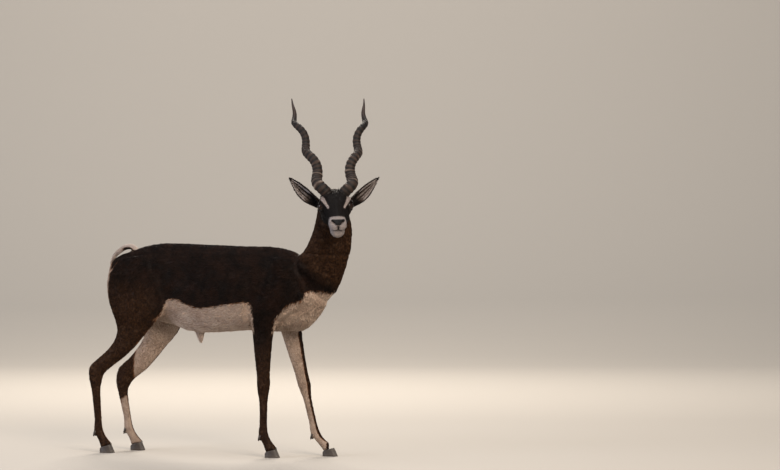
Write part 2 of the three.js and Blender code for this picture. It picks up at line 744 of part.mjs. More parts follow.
// A lock: it leaves the edge of the tail at a low angle and follows its arch to a thin end
function tailLock(curve, at, side) {
  const reach = 0.3 + 0.1 * random();
  const spread = 15 + 5 * random();
  const sections = [];
  for (let i = 0; i <= 3; i += 1) {
    const share = i / 3;
    const along = Math.min(at + reach * share, 1);
    const tangent = curve.getTangentAt(along);
    const across = new THREE.Vector3(0, 1, 0);
    const centre = tailPoint(curve, at + reach * share);
    centre.addScaledVector(across, side * (3 + spread * share));
    const up = new THREE.Vector3().crossVectors(tangent, across).normalize();
    centre.addScaledVector(up, 1.5 * random());
    up.multiplyScalar(3.4 - 2.6 * share);
    across.multiplyScalar(9.5 - 8 * share ** 1.5);
    sections.push(outline(centre, up, up.clone().negate(), across, 5));
  }
  return solid(loft(sections));
}

function tail(grow) {
  const curve = new THREE.CatmullRomCurve3(TAIL_PATH.map((point) => new THREE.Vector3(...point)));
  const sections = [];
  for (let i = 0; i <= 12; i += 1) {
    const at = i / 12;
    const tangent = curve.getTangentAt(at);
    const across = new THREE.Vector3(0, 1, 0);
    const up = new THREE.Vector3().crossVectors(tangent, across).normalize();
    const size = 1 - 0.62 * at ** 2;
    up.multiplyScalar(TAIL_HALF_THICK * size + grow);
    across.multiplyScalar(TAIL_HALF_WIDTH * size + grow);
    sections.push(outline(curve.getPointAt(at), up, up.clone().negate(), across, 8));
  }
  const core = solid(loft(sections));
  if (grow > 0) {
    return core;
  }
  const pieces = [core];
  for (let i = 0; i < TAIL_LOCKS; i += 1) {
    const at = 0.26 + (0.66 * i) / TAIL_LOCKS;
    pieces.push(tailLock(curve, at, i % 2 === 0 ? 1 : -1));
  }
  pieces.push(tailLock(curve, 0.85, 0));
  return join(pieces);
}

// The frames that the pieces of the head are placed in
const model = new THREE.Group();
const levelHead = new THREE.Group();
levelHead.position.copy(EYES_AT);
levelHead.rotation.z = HEAD_YAW;
model.add(levelHead);
const headFrame = new THREE.Group();
headFrame.rotation.order = 'YXZ';
headFrame.rotation.y = HEAD_PITCH;
headFrame.rotation.x = HEAD_ROLL;
levelHead.add(headFrame);
model.updateMatrixWorld(true);

function moved(body, matrix) {
  return body.transform(matrix.toArray());
}

function add(group, name, body, material) {
  const kept = largest(body);
  const local = moved(kept, group.matrixWorld.clone().invert());
  const mesh = new THREE.Mesh(geometryOf(local), material);
  mesh.name = name;
  group.add(mesh);
}

// The prepuce: a small soft cone under the belly
function prepuce() {
  const sections = [
    { z: 470, half: 16 },
    { z: 440, half: 13 },
    { z: 422, half: 8 },
    { z: 405, half: 4.5 },
  ].map((level) => outline(
    new THREE.Vector3(-97 + (440 - level.z) * 0.1, 0, level.z),
    new THREE.Vector3(level.half * 1.4, 0, 0),
    new THREE.Vector3(-level.half * 1.4, 0, 0),
    new THREE.Vector3(0, level.half, 0),
    10,
  ));
  return solid(loft(sections));
}

// The flesh of the head, with the rims of the eye sockets, the wings of the nose, the roots
// of the horns, the cheeks and the lids
function headFlesh() {
  const skull = solid(loft(smoothed(SKULL, 2).map((station) => headSection(station, HEAD_SIDES))));
  const jaw = solid(loft(JAW.map((station) => headSection(station, JAW_SIDES))));
  const pieces = [skull, jaw];
  for (const side of [-1, 1]) {
    pieces.push(solid(ellipsoid([-6, side * 39, 14], [28, 21, 21], 12, 8)));
    pieces.push(solid(ellipsoid([108, side * 16, 5], [14, 14, 12], 10, 6)));
    pieces.push(solid(ellipsoid([-28, side * 27, 36], [29, 22, 21], 12, 6)));
    pieces.push(solid(ellipsoid([0, side * 28, -32], [53, 23, 25], 12, 6)));
    pieces.push(eyelid(side, true));
    pieces.push(eyelid(side, false));
  }
  return join(pieces);
}

function carvedHead(head) {
  return head.subtract(mouthLine()).subtract(nostril(-1)).subtract(nostril(1));
}

function eyeball(side, radius) {
  const at = [EYE_PLACE.x, side * EYE_PLACE.y, EYE_PLACE.z];
  return solid(ellipsoid(at, [radius, radius, radius], 14, 9));
}

const headWorld = headFrame.matrixWorld;
const levelWorld = levelHead.matrixWorld;
const horns = [-1, 1].map((side) => moved(horn(side, 0), levelWorld));
const hornSockets = [-1, 1].map((side) => moved(horn(side, GAP), levelWorld));
const earParts = [-1, 1].map((side) => {
  const leaf = box([EAR_STUB, -60, -60], [EAR_LENGTH + 10, 60, 60], earMatrix(side));
  return parted(ear(side), leaf).map((piece) => moved(piece, levelWorld));
});
const eyes = [-1, 1].map((side) => moved(eyeball(side, EYE_RADIUS), headWorld));
const sockets = [-1, 1].map((side) => moved(eyeball(side, EYE_RADIUS + GAP), headWorld));

const limbs = LEGS.map((leg) => join([
  solid(loft(limbSections([...leg.stations, coronet(leg)], leg.side, LEG_SIDES, 2))),
  dewclaw(leg, -1),
  dewclaw(leg, 1),
]));
const headSolid = moved(carvedHead(headFlesh()), headWorld);
const earStubs = earParts.map((parts) => parts[1]);
let body = join([trunk(), neck(), prepuce(), headSolid, ...earStubs, ...limbs]);

// The head ends behind the jaw and under it, and the neck at the base of the throat
let head;
[head, body] = parted(body, box(HEAD_CUT_LOW, HEAD_CUT_HIGH, headWorld));
for (const piece of [...sockets, ...hornSockets]) {
  head = head.subtract(piece);
}
let neckNode;
[neckNode, body] = parted(body, box([-300, -200, 0], [300, 200, 400], planeMatrix(NECK_PLANE)));
for (const piece of hornSockets) {
  neckNode = neckNode.subtract(piece);
}
add(model, 'head', head, NECK_MATERIAL);
add(model, 'neck', neckNode, NECK_MATERIAL);

// Each leg leaves the trunk along a slanted plane, and is parted again at its knee or hock
for (const leg of LEGS) {
  const root = leg.fore ? FORE_ROOT : HIND_ROOT;
  const slanted = new THREE.Matrix4().makeRotationX(-leg.side * root.slant);
  slanted.setPosition(0, leg.side * root.out, root.z);
  const near = leg.side > 0 ? 0 : -300;
  const low = [root.lowX + leg.shift, near, -800];
  const high = [root.highX + leg.shift, near + 300, 400];
  const beside = box(low, high, slanted);
  const ownHalf = box([-700, near + leg.side, -50], [600, near + 300 + leg.side, 900]);
  let limb;
  [limb, body] = parted(body, (grow) => beside(grow).intersect(ownHalf(grow)));
  const joint = leg.fore ? KNEE_CUT : HOCK_CUT;
  const [lower, upper] = parted(limb, box([-700, -300, -50], [600, 300, joint]));
  add(model, leg.name, upper, LEG_MATERIAL);
  add(model, `${leg.name}_lower`, lower, LEG_MATERIAL);
}

const tailSolid = tail(0);
add(model, 'torso', body.subtract(tail(GAP)), COAT_MATERIAL);
add(model, 'tail', tailSolid, TAIL_MATERIAL);

for (const [i, name] of ['right', 'left'].entries()) {
  add(headFrame, `eye_${name}`, eyes[i], EYE_MATERIAL);
  add(levelHead, `ear_${name}`, earParts[i][0], EAR_MATERIAL);
  add(levelHead, `horn_${name}`, horns[i], HORN_MATERIAL);
}

// The feet: two toes and two dewclaws on each
for (const leg of LEGS) {
  const foot = new THREE.Group();
  foot.position.set(leg.heel, leg.side * leg.hoofOut, 0);
  model.add(foot);
  foot.updateMatrixWorld(true);
  for (const side of [-1, 1]) {
    const place = side * leg.side > 0 ? 'outer' : 'inner';
    add(foot, `hoof_${leg.name}_${place}`, moved(toe(side), foot.matrixWorld), HOOF_MATERIAL);
  }
}

const animal = new THREE.Group();
model.position.set(-MIDDLE_X, -MIDDLE_Y, 0);
animal.add(model);

export default animal;
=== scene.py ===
# %% [markdown]
# # A life-size blackbuck in fur, horn and hoof
# The animal is an adult male, standing still with its head turned to its right. The solid model
# gives every size and place. This lesson dresses it the way a museum preparator would: one skin
# over the whole body, a coat of short hair laid along it, and separate eyes, horns and hooves.

# %% Load the solid model
import math

import bmesh
import bpy
import numpy as np
from mathutils import Matrix, Vector


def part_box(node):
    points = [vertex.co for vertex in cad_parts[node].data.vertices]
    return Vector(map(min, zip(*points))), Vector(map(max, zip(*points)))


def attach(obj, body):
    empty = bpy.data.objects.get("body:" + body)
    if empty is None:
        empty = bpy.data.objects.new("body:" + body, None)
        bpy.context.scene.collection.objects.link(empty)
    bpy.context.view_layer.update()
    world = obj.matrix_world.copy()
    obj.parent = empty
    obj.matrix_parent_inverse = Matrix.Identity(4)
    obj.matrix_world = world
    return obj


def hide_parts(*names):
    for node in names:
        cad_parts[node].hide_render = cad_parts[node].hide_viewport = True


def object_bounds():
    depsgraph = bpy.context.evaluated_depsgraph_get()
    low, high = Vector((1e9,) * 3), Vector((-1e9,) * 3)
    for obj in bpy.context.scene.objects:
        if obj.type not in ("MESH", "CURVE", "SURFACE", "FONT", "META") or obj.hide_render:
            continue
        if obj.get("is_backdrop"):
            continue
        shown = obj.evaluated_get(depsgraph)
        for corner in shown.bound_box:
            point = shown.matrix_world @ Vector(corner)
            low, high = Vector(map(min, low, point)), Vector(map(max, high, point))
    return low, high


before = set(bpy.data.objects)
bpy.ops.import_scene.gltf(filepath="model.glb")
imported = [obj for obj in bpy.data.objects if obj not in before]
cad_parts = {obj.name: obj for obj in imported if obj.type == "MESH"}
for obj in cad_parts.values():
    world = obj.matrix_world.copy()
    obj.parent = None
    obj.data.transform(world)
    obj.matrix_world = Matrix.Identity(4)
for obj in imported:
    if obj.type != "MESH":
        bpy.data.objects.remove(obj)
cad_box = [list(corner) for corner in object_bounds()]
rng = np.random.default_rng(20)
print("solids:", len(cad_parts), "box:", [round(v, 3) for corner in cad_box for v in corner])

# %% [markdown]
# ## Two sets of coordinates
# A naturalist measures a body along its own back and a head along its own nose, so places are
# written here in millimetres on the body or on the head. Body places count from the floor under
# the trunk: x to the chest, y to the animal's left, z up. Both sets are found from the solids:
# from the hooves for the body, and from the eyes for the head.

# %% Places on the body and on the head
MM = 0.001
FORE_HEEL = 183
HEAD_YAW = math.radians(-64)
HEAD_PITCH = math.radians(30)
HEAD_ROLL = math.radians(1.5)
EYE_PLACE = Vector((4, 46, 8))
EYE_RADIUS = 18.5
SIDES = (("left", 1), ("right", -1))
# metres: what lies along the head and above this is on the head, and not on the chest
CLEAR_OF_CHEST = 0.75


def middle(node):
    low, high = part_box(node)
    return (low + high) / 2


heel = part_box("hoof_foreleg_right_inner")[0]
feet = (middle("hoof_foreleg_right_inner") + middle("hoof_foreleg_left_inner")) / 2
BODY_ORIGIN = np.array((heel.x - FORE_HEEL * MM, feet.y, 0))
LEVEL_TURN = Matrix.Rotation(HEAD_YAW, 3, "Z")
HEAD_TURN = LEVEL_TURN @ Matrix.Rotation(HEAD_PITCH, 3, "Y") @ Matrix.Rotation(HEAD_ROLL, 3, "X")
between_eyes = (middle("eye_right") + middle("eye_left")) / 2
HEAD_ORIGIN = np.array(between_eyes - HEAD_TURN @ Vector((EYE_PLACE.x, 0, EYE_PLACE.z)) * MM)


def on_body(points):
    """Metres in the frame to millimetres on the body."""
    return (np.asarray(points) - BODY_ORIGIN) / MM


def from_body(places):
    return np.asarray(places) * MM + BODY_ORIGIN


def on_head(points, turn=HEAD_TURN):
    """Metres in the frame to millimetres on the head."""
    return (np.asarray(points) - HEAD_ORIGIN) @ np.array(turn) / MM


def from_head(places, turn=HEAD_TURN):
    return np.asarray(places) @ np.array(turn).T * MM + HEAD_ORIGIN


def eye_middle(side):
    return np.array((EYE_PLACE.x, side * EYE_PLACE.y, EYE_PLACE.z))


print("body origin", BODY_ORIGIN.round(4), "head origin", HEAD_ORIGIN.round(4))

# %% [markdown]
# ## Camera, floor and light
# The photograph was taken from far away with a long lens, level with the animal's back. From
# there it sees the right side and the face. A long lens keeps the near and far legs the same
# size, so the camera stands sixteen metres off and the lens is long too.

# %% The camera
AZIMUTH = math.radians(20)
ELEVATION = math.radians(2)
DISTANCE = 16
LENS = 203.1
AIM = from_body((563.8, 205.2, 800))

scene = bpy.context.scene
look = Vector((
    -math.sin(AZIMUTH) * math.cos(ELEVATION),
    math.cos(AZIMUTH) * math.cos(ELEVATION),
    -math.sin(ELEVATION),
))
camera = bpy.data.objects.new("camera", bpy.data.cameras.new("camera"))
camera.location = Vector(AIM) - look * DISTANCE
camera.rotation_euler = look.to_track_quat("-Z", "Y").to_euler()
camera.data.sensor_width = 36
camera.data.lens = LENS
camera.data.clip_end = 60
scene.collection.objects.link(camera)
scene.camera = camera
print("camera at", [round(v, 3) for v in camera.location])

# %% [markdown]
# ## How a material is put together
# Colours are given as sRGB hex values, but light adds up in linear values, so one
# function turns them over. A second small function adds one node, with its settings and links.

# %% Colour and node helpers


def linear(colour):
    """An sRGB hex string such as "2c1b13" to a linear colour."""
    channels = [int(colour[i:i + 2], 16) / 255 for i in (0, 2, 4)]
    return [c / 12.92 if c < 0.04045 else ((c + 0.055) / 1.055) ** 2.4 for c in channels] + [1]


def add(tree, kind, inputs=None, **settings):
    """Adds one shader node. An input is a plain value, an output to link, or a node to link by
    its first output."""
    made = tree.nodes.new(kind)
    for name, value in settings.items():
        setattr(made, name, value)
    for key, value in (inputs or {}).items():
        if isinstance(value, bpy.types.Node):
            value = value.outputs[0]
        if isinstance(value, bpy.types.NodeSocket):
            tree.links.new(value, made.inputs[key])
        else:
            made.inputs[key].default_value = value
    return made


def new_material(name):
    material = bpy.data.materials.new(name)
    material.use_nodes = True
    tree = material.node_tree
    tree.nodes.remove(tree.nodes["Principled BSDF"])
    return material, tree


def finish_material(tree, shader):
    """Links the last node of a material to its surface."""
    tree.links.new(shader.outputs[0], tree.nodes["Material Output"].inputs["Surface"])


print("linear of 2c1b13:", [round(c, 4) for c in linear("2c1b13")])

# %% [markdown]
# The floor is a plain sweep of board with a dull grey paint, as in a studio: flat under the
# hooves and curved up far behind them, so that no horizon shows. It isn't part of the animal.

# %% The studio sweep
SWEEP_HALF_WIDTH = 9
SWEEP_FRONT = -9
SWEEP_BACK = 5
SWEEP_RADIUS = 3
SWEEP_TOP = 6
SWEEP_STEPS = 12

sweep_profile = [(SWEEP_FRONT, 0)]
for i in range(SWEEP_STEPS + 1):
    angle = math.pi / 2 * i / SWEEP_STEPS
    depth = SWEEP_BACK + SWEEP_RADIUS * math.sin(angle)
    sweep_profile.append((depth, SWEEP_RADIUS * (1 - math.cos(angle))))
sweep_profile.append((SWEEP_BACK + SWEEP_RADIUS, SWEEP_TOP))
sweep_points = []
for depth, height in sweep_profile:
    for side in (-SWEEP_HALF_WIDTH, SWEEP_HALF_WIDTH):
        sweep_points.append((side, depth, height))
sweep_faces = [(2 * i, 2 * i + 1, 2 * i + 3, 2 * i + 2) for i in range(len(sweep_profile) - 1)]
sweep_mesh = bpy.data.meshes.new("studio_sweep")
sweep_mesh.from_pydata(sweep_points, [], sweep_faces)
sweep_mesh.shade_smooth()
sweep = bpy.data.objects.new("studio_sweep", sweep_mesh)
sweep.rotation_euler.z = AZIMUTH
scene.collection.objects.link(sweep)
sweep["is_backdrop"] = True

board, board_tree = new_material("painted_board")
finish_material(board_tree, add(board_tree, "ShaderNodeBsdfPrincipled", {
    "Base Color": linear("a59f97"), "Roughness": 0.85}))
sweep_mesh.materials.append(board)
print("sweep faces:", len(sweep_faces))

# %% [markdown]
# A dark coat swallows light, so it needs broad lamps that graze it and leave a sheen on its
# curves: a large warm key from the right front, a weaker cool fill from the left, a rim lamp
# behind that draws the back and the horns, and a weak one overhead. A last lamp lights the wall.

# %% The lamps


def lamp(name, place, power, size, colour, aim=(0, 0, 0.6)):
    data = bpy.data.lights.new(name, "AREA")
    data.energy = power
    data.size = size
    data.color = linear(colour)[:3]
    obj = bpy.data.objects.new(name, data)
    obj.location = place
    obj.rotation_euler = (Vector(aim) - Vector(place)).to_track_quat("-Z", "Y").to_euler()
    scene.collection.objects.link(obj)


lamp("key", (4.2, -4.6, 3.6), 440, 2.6, "ffeedb")
lamp("fill", (-4.6, -4.2, 2.4), 215, 3.2, "ecf0ff")
lamp("rim", (-1.5, 3.6, 3.4), 240, 2.2, "fff4e6")
lamp("overhead", (0.3, -0.4, 4.6), 90, 3.0, "ffffff")
# one more lamp lights the wall alone, so that it is as pale as the floor
lamp("wall", (-0.9, 2.4, 4.8), 260, 3.0, "fffaf4", (-2.9, 8.0, 3.6))

world = bpy.data.worlds.new("studio")
world.use_nodes = True
world.node_tree.nodes["Background"].inputs["Color"].default_value = linear("dfe3e8")
world.node_tree.nodes["Background"].inputs["Strength"].default_value = 0.45
scene.world = world
# the plain sRGB curve keeps the darks of the coat as dark as they are on the animal
scene.view_settings.view_transform = "Standard"

# %% [markdown]
# ## The skin
# The solids are separate blocks, parted by thin gaps. A taxidermist stretches one hide over the
# whole form, so here the blocks are swollen a little until they meet, and a voxel remesh wraps
# them in one surface of even little squares. The ears stay off it: they are thinner than the
# squares, and get a finer mesh of their own later.

# %% Wrap the body in one surface
SKIN_VOXEL = 0.0036
SWELL = 0.0005
LEGS = ["foreleg_right", "foreleg_left", "hind_leg_right", "hind_leg_left"]
FLESH = ["head", "neck", "torso"] + LEGS + [leg + "_lower" for leg in LEGS]
TAIL_PATH = [(-326, 0, 706), (-349, 0, 738), (-370, -2, 753), (-392, -6, 750), (-411, -9, 738),
             (-427, -11, 724), (-437, -12, 709)]
TAIL_RADII = [13, 10.5, 9, 8, 7, 5, 3]
TUBE_SIDES = 12
# a ball of flesh joins the root of each ear to the head
EAR_BALL = (-44, 50, 7)
EAR_BALL_RADIUS = 16


def add_tube(bm, places, radii):
    """A round tube through some places, for the flesh of the tail."""
    rings = []
    for i, (place, radius) in enumerate(zip(places, radii)):
        before = Vector(places[max(i - 1, 0)])
        after = Vector(places[min(i + 1, len(places) - 1)])
        turn = (after - before).to_track_quat("Z", "Y").to_matrix().to_4x4()
        matrix = Matrix.Translation(Vector(place)) @ turn
        ring = bmesh.ops.create_circle(bm, segments=TUBE_SIDES, radius=radius, matrix=matrix)
        rings.append(ring["verts"])
    for near, far in zip(rings, rings[1:]):
        for i in range(TUBE_SIDES):
            bm.faces.new((near[i - 1], near[i], far[i], far[i - 1]))
    bm.faces.new(rings[0][::-1])
    bm.faces.new(rings[-1])


def remeshed(mesh, voxel):
    """A closed surface of even squares round all that the mesh holds."""
    obj = bpy.data.objects.new("to_remesh", mesh)
    scene.collection.objects.link(obj)
    modifier = obj.modifiers.new("remesh", "REMESH")
    modifier.mode = "VOXEL"
    modifier.voxel_size = voxel
    evaluated = obj.evaluated_get(bpy.context.evaluated_depsgraph_get())
    surface = bmesh.new()
    surface.from_mesh(evaluated.to_mesh())
    bpy.data.objects.remove(obj)
    return surface


wrap = bmesh.new()
for name in FLESH:
    block = bmesh.new()
    block.from_mesh(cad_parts[name].data)
    bmesh.ops.remove_doubles(block, verts=block.verts, dist=0.00002)
    block.normal_update()
    for vertex, normal in [(v, v.normal.copy()) for v in block.verts]:
        vertex.co += normal * SWELL
    swollen = bpy.data.meshes.new("swollen_" + name)
    block.to_mesh(swollen)
    block.free()
    wrap.from_mesh(swollen)
    bpy.data.meshes.remove(swollen)
add_tube(wrap, [tuple(p) for p in from_body(TAIL_PATH)], [r * MM for r in TAIL_RADII])
for side in (-1, 1):
    ball_place = from_head(np.array(EAR_BALL) * (1, side, 1), LEVEL_TURN)
    bmesh.ops.create_uvsphere(wrap, u_segments=16, v_segments=10, radius=EAR_BALL_RADIUS * MM,
                              matrix=Matrix.Translation(Vector(ball_place)))
wrap_mesh = bpy.data.meshes.new("wrap")
wrap.to_mesh(wrap_mesh)
wrap.free()
hide = remeshed(wrap_mesh, SKIN_VOXEL)
print("squares in the wrapped surface:", len(hide.faces))

# %% [markdown]
# The head carries lids, lips and nostrils of a few millimetres, too small for the squares of the
# body. So only the head's squares are cut in four, and those round the eyes and on the muzzle
# once more. After that everything is worked on as plain arrays of points and triangles, which
# numpy moves by the hundred thousand at once.

# %% Cut the head's squares finer
HEAD_FINE_FROM = -62
MUZZLE_FROM = 92
EYE_REGION = 32


def largest_part(bm):
    """Drops the closed scraps that lie inside the surface."""
    seen = set()
    parts = []
    for start in bm.verts:
        if start in seen:
            continue
        seen.add(start)
        part = [start]
        for vertex in part:
            for edge in vertex.link_edges:
                other = edge.other_vert(vertex)
                if other not in seen:
                    seen.add(other)
                    part.append(other)
        parts.append(part)
    parts.sort(key=len)
    bmesh.ops.delete(bm, geom=[v for part in parts[:-1] for v in part], context="VERTS")
    return len(parts)


print("closed parts found:", largest_part(hide))


def cut_finer(bm, wanted):
    """Cuts in four each square whose corners are all in the wanted part of the head."""
    bm.verts.index_update()
    chosen = wanted(on_head([v.co for v in bm.verts]))
    edges = [e for e in bm.edges if chosen[e.verts[0].index] and chosen[e.verts[1].index]]
    bmesh.ops.subdivide_edges(bm, edges=edges, cuts=1, use_grid_fill=True)


def whole_head(places):
    x, y, z = places.T
    return (x > HEAD_FINE_FROM) & (np.abs(y) < 75) & (z > -95) & (z < 90)


def eyes_and_muzzle(places):
    x, y, z = places.T
    by_eye = np.hypot(x - EYE_PLACE.x - 4, z - EYE_PLACE.z) < EYE_REGION
    muzzle = (x > MUZZLE_FROM) & (z > -66) & (z < 30)
    return (by_eye & (np.abs(y) > 25) & (np.abs(y) < 75)) | (muzzle & (np.abs(y) < 45))


cut_finer(hide, whole_head)
cut_finer(hide, eyes_and_muzzle)


def to_arrays(bm):
    """The points and triangles of a mesh, as numpy arrays."""
    bmesh.ops.triangulate(bm, faces=bm.faces)
    bm.verts.index_update()
    points = np.array([v.co for v in bm.verts])
    triangles = np.array([[v.index for v in f.verts] for f in bm.faces])
    bm.free()
    return points, triangles


points, triangles = to_arrays(hide)
print("points:", len(points), "triangles:", len(triangles))

# %% [markdown]
# The blocks are faceted, and they meet in ridges that no animal has. Each point is moved towards
# the middle of its neighbours, and then a little less far back, again and again. That irons out
# ridges and facets but keeps the thickness of the legs, which plain smoothing would waste away.

# %% Iron out the facets
IRON_ROUNDS = 55
IRON_IN = 0.55
IRON_OUT = -0.565


def edges_of(triangles):
    pairs = np.concatenate([triangles[:, [0, 1]], triangles[:, [1, 2]], triangles[:, [2, 0]]])
    return np.unique(np.sort(pairs, axis=1), axis=0)


def averaged(values, edges, count):
    """The mean of each point's neighbours."""
    start, end = edges[:, 0], edges[:, 1]
    degree = np.bincount(start, minlength=count) + np.bincount(end, minlength=count)
    result = np.empty_like(values)
    for axis in range(values.shape[1]):
        column = values[:, axis]
        total = np.bincount(start, column[end], count) + np.bincount(end, column[start], count)
        result[:, axis] = total / degree
    return result


def ironed(points, edges, rounds, share=1):
    for _ in range(rounds):
        for amount in (IRON_IN, IRON_OUT):
            points = points + share * amount * (averaged(points, edges, len(points)) - points)
    return points


def facings(points, triangles):
    """The normal of each triangle, as long as twice its area."""
    corners = points[triangles]
    return np.cross(corners[:, 1] - corners[:, 0], corners[:, 2] - corners[:, 0])


def normals_of(points, triangles):
    """The normal at each point, to which larger triangles add more."""
    facing = facings(points, triangles)
    normals = np.zeros_like(points)
    for axis in range(3):
        for corner in range(3):
            weights = facing[:, axis]
            normals[:, axis] += np.bincount(triangles[:, corner], weights, len(points))
    return normals / np.maximum(np.linalg.norm(normals, axis=1, keepdims=True), 1e-12)


def smoothstep(values, low, high):
    share = np.clip((values - low) / (high - low), 0, 1)
    return share * share * (3 - 2 * share)


edges = edges_of(triangles)
points = ironed(points, edges, IRON_ROUNDS)
print("mean edge in mm:", round(1000 * np.linalg.norm(
    points[edges[:, 0]] - points[edges[:, 1]], axis=1).mean(), 2))

# %% [markdown]
# ## Muscle and bone
# Under a short coat the form of an antelope shows plainly: the blade of the shoulder, the hollow
# of the flank, the hip bone, the split between the muscles of the thigh. A sculptor presses or
# adds clay along short lines. Here a stroke runs between two places and lifts or lowers the
# surface near it, along its own normal, by a height that fades with distance.

# %% Strokes of clay


def to_line(points, start, end):
    """The distance from each point to the straight line between two places."""
    start, end = np.array(start, float), np.array(end, float)
    along = end - start
    share = np.clip((points - start) @ along / max(along @ along, 1e-9), 0, 1)
    return np.linalg.norm(points - start - share[:, None] * along, axis=1)


def both_sides(stroke):
    start, end, radius, height = stroke
    for side in (1, -1):
        yield [tuple(np.array(p) * (1, side, 1)) for p in (start, end)] + [radius, height]


def settled(place, surface):
    """The point of the surface that lies nearest to a place."""
    return surface[np.linalg.norm(surface - np.array(place), axis=1).argmin()]


def pressed(places, normals, strokes, settle=False):
    """The shift in millimetres that the strokes give each place."""
    lift = np.zeros(len(places))
    for start, end, *size in strokes:
        if settle:
            start, end = settled(start, places), settled(end, places)
        for start, end, radius, height in both_sides((start, end, *size)):
            lift += height * np.exp(-(to_line(places, start, end) / radius) ** 2)
    return normals * lift[:, None]


BODY_STROKES = [
    # start, end, radius, height: the shoulder blade, its hollows, the upper arm and the ribs
    ((228, 62, 715), (282, 86, 610), 13, 3.5),
    ((335, 60, 700), (338, 72, 610), 17, -4.5),
    ((195, 84, 610), (168, 88, 545), 24, 4.5),
    ((326, 72, 580), (330, 68, 560), 20, 3.5),
    ((132, 95, 640), (118, 88, 510), 15, -4),
    ((258, 70, 700), (215, 88, 620), 12, -2.5),
    # the flank's hollow, the hip bone, the muscles of the thigh, the stifle and its fold
    ((-128, 84, 665), (-120, 84, 640), 34, -7),
    ((-168, 70, 716), (-176, 74, 706), 15, 5),
    ((-345, 84, 660), (-322, 90, 515), 11, -2.8),
    ((-262, 80, 690), (-238, 94, 560), 16, -2.5),
    ((-212, 92, 530), (-222, 90, 512), 22, 4),
    ((-160, 86, 572), (-205, 86, 515), 10, 3),
    ((-166, 84, 541), (-238, 80, 488), 7, -4),
    ((-150, 88, 560), (-218, 84, 500), 7, 2),
    # the breast, the jugular groove and the muscle of the neck
    ((300, 0, 452), (398, 0, 545), 14, 3),
    ((476, 24, 740), (438, 30, 610), 9, -3),
    ((455, 44, 850), (420, 60, 690), 16, 2.5),
]
LEG_STROKES = [
    # the hollows before the heel cord of each hind leg, and beside the tendons of the cannons
    ((-384, 80, 392), (-452, 78, 334), 9, -4.5),
    ((-384, 60, 392), (-452, 62, 334), 9, -4.5),
    ((-176, 82, 300), (-176, 82, 270), 8, 1.5),
]
RIB_STEP = 27
RIB_STROKES = [((112 - RIB_STEP * i, 96, 665), (72 - RIB_STEP * i, 104, 520), 7, 1.3)
               for i in range(7)]

normals = normals_of(points, triangles)
points = points + MM * pressed(on_body(points), normals, BODY_STROKES + LEG_STROKES + RIB_STROKES)
print("body strokes:", len(BODY_STROKES + LEG_STROKES + RIB_STROKES))

# %% [markdown]
# ## The face
# The face gets the most care. On a blackbuck the eyes stand out at the sides under a bony brow,
# with a deep slit of a scent gland before each. The nostrils are commas in a bare, dark nose pad,
# and the upper lip is parted by a groove.

# %% Brow, gland, nose and lips
FACE_STROKES = [
    # the brow over the eye, the cheekbone under it and the hollow of the cheek
    ((-16, 54, 34), (26, 49, 30), 9, 3),
    ((46, 40, -14), (2, 57, -20), 8, 2.5),
    ((64, 31, -4), (34, 44, -26), 12, -2.5),
    # the slit of the gland with its two rims, in a hollow before the eye
    ((30, 46, 6), (42, 41, 0), 11, -2.5),
    ((32, 51, 0), (50, 41, -12), 3.4, -4.5),
    ((34, 51, 7), (54, 40, -5), 4, 1.8),
    ((28, 52, -8), (47, 42, -20), 4, 1.4),
    # the ridge of the nose, and the swelling over each nostril
    ((40, 0, 38), (100, 0, 21), 12, 1.5),
    ((98, 24, 10), (111, 21, 15), 7, 1.6),
    # the nostrils: a comma that is deep in front and trails back
    ((125, 13, 8), (119, 18, 10), 3.6, -6.5),
    ((119, 18, 10), (110, 24, 14), 2.6, -4.5),
    # the lips: the groove of the mouth, the swelling above it and the chin
    ((130, 0, -18.5), (112, 20, -18.5), 2.6, -3.6),
    ((112, 20, -18.5), (78, 30, -18.5), 2.6, -3.4),
    ((122, 13, -10), (92, 30, -9), 6, 1.6),
    ((116, 9, -38), (98, 18, -40), 8, 1),
    # the parting of the upper lip
    ((131, 0, 4), (131, 0, -16), 2.4, -2.2),
]
normals = normals_of(points, triangles)
places = on_head(points)
near_head = (places[:, 0] > HEAD_FINE_FROM - 10) & (points[:, 2] > CLEAR_OF_CHEST)
head_normals = normals[near_head] @ np.array(HEAD_TURN)
shift = pressed(places[near_head], head_normals, FACE_STROKES, settle=True)
points[near_head] += MM * shift @ np.array(HEAD_TURN).T
print("face strokes:", len(FACE_STROKES), "on", int(near_head.sum()), "points")

# %% [markdown]
# A lid is skin stretched over the ball of the eye. So the skin near each eye is pushed out until
# it clears the ball by the lid's thickness, except inside the almond of the opening, where it
# drops behind the ball. The almond faces out and a little forward, and it leans forward and
# down, as it does on every antelope.

# %% The lids
LID_THICK = 2.2
OPENING_LONG = 16.5
OPENING_HIGH = 10.5
OPENING_LEAN = math.radians(-16)
GAZE_FORWARD = math.radians(25)
LID_EDGE = 0.16


def eye_parts(places, side):
    """How far along and up from the middle of the eye each place is, as it is seen from outside."""
    away = places - eye_middle(side)
    distance = np.linalg.norm(away, axis=1)
    outward = away[:, 1] * side * math.cos(GAZE_FORWARD) + away[:, 0] * math.sin(GAZE_FORWARD)
    ahead = away[:, 0] * math.cos(GAZE_FORWARD) - away[:, 1] * side * math.sin(GAZE_FORWARD)
    lean_x = ahead * math.cos(OPENING_LEAN) + away[:, 2] * math.sin(OPENING_LEAN)
    lean_z = -ahead * math.sin(OPENING_LEAN) + away[:, 2] * math.cos(OPENING_LEAN)
    return away, distance, outward, lean_x, lean_z


def opening(lean_x, lean_z):
    """Under 1 inside the almond of the lids and over 1 outside it."""
    height = OPENING_HIGH * np.where(lean_z > 0, 1.0, 0.82)
    return np.abs(lean_x / OPENING_LONG) ** 1.7 + np.abs(lean_z / height) ** 1.7


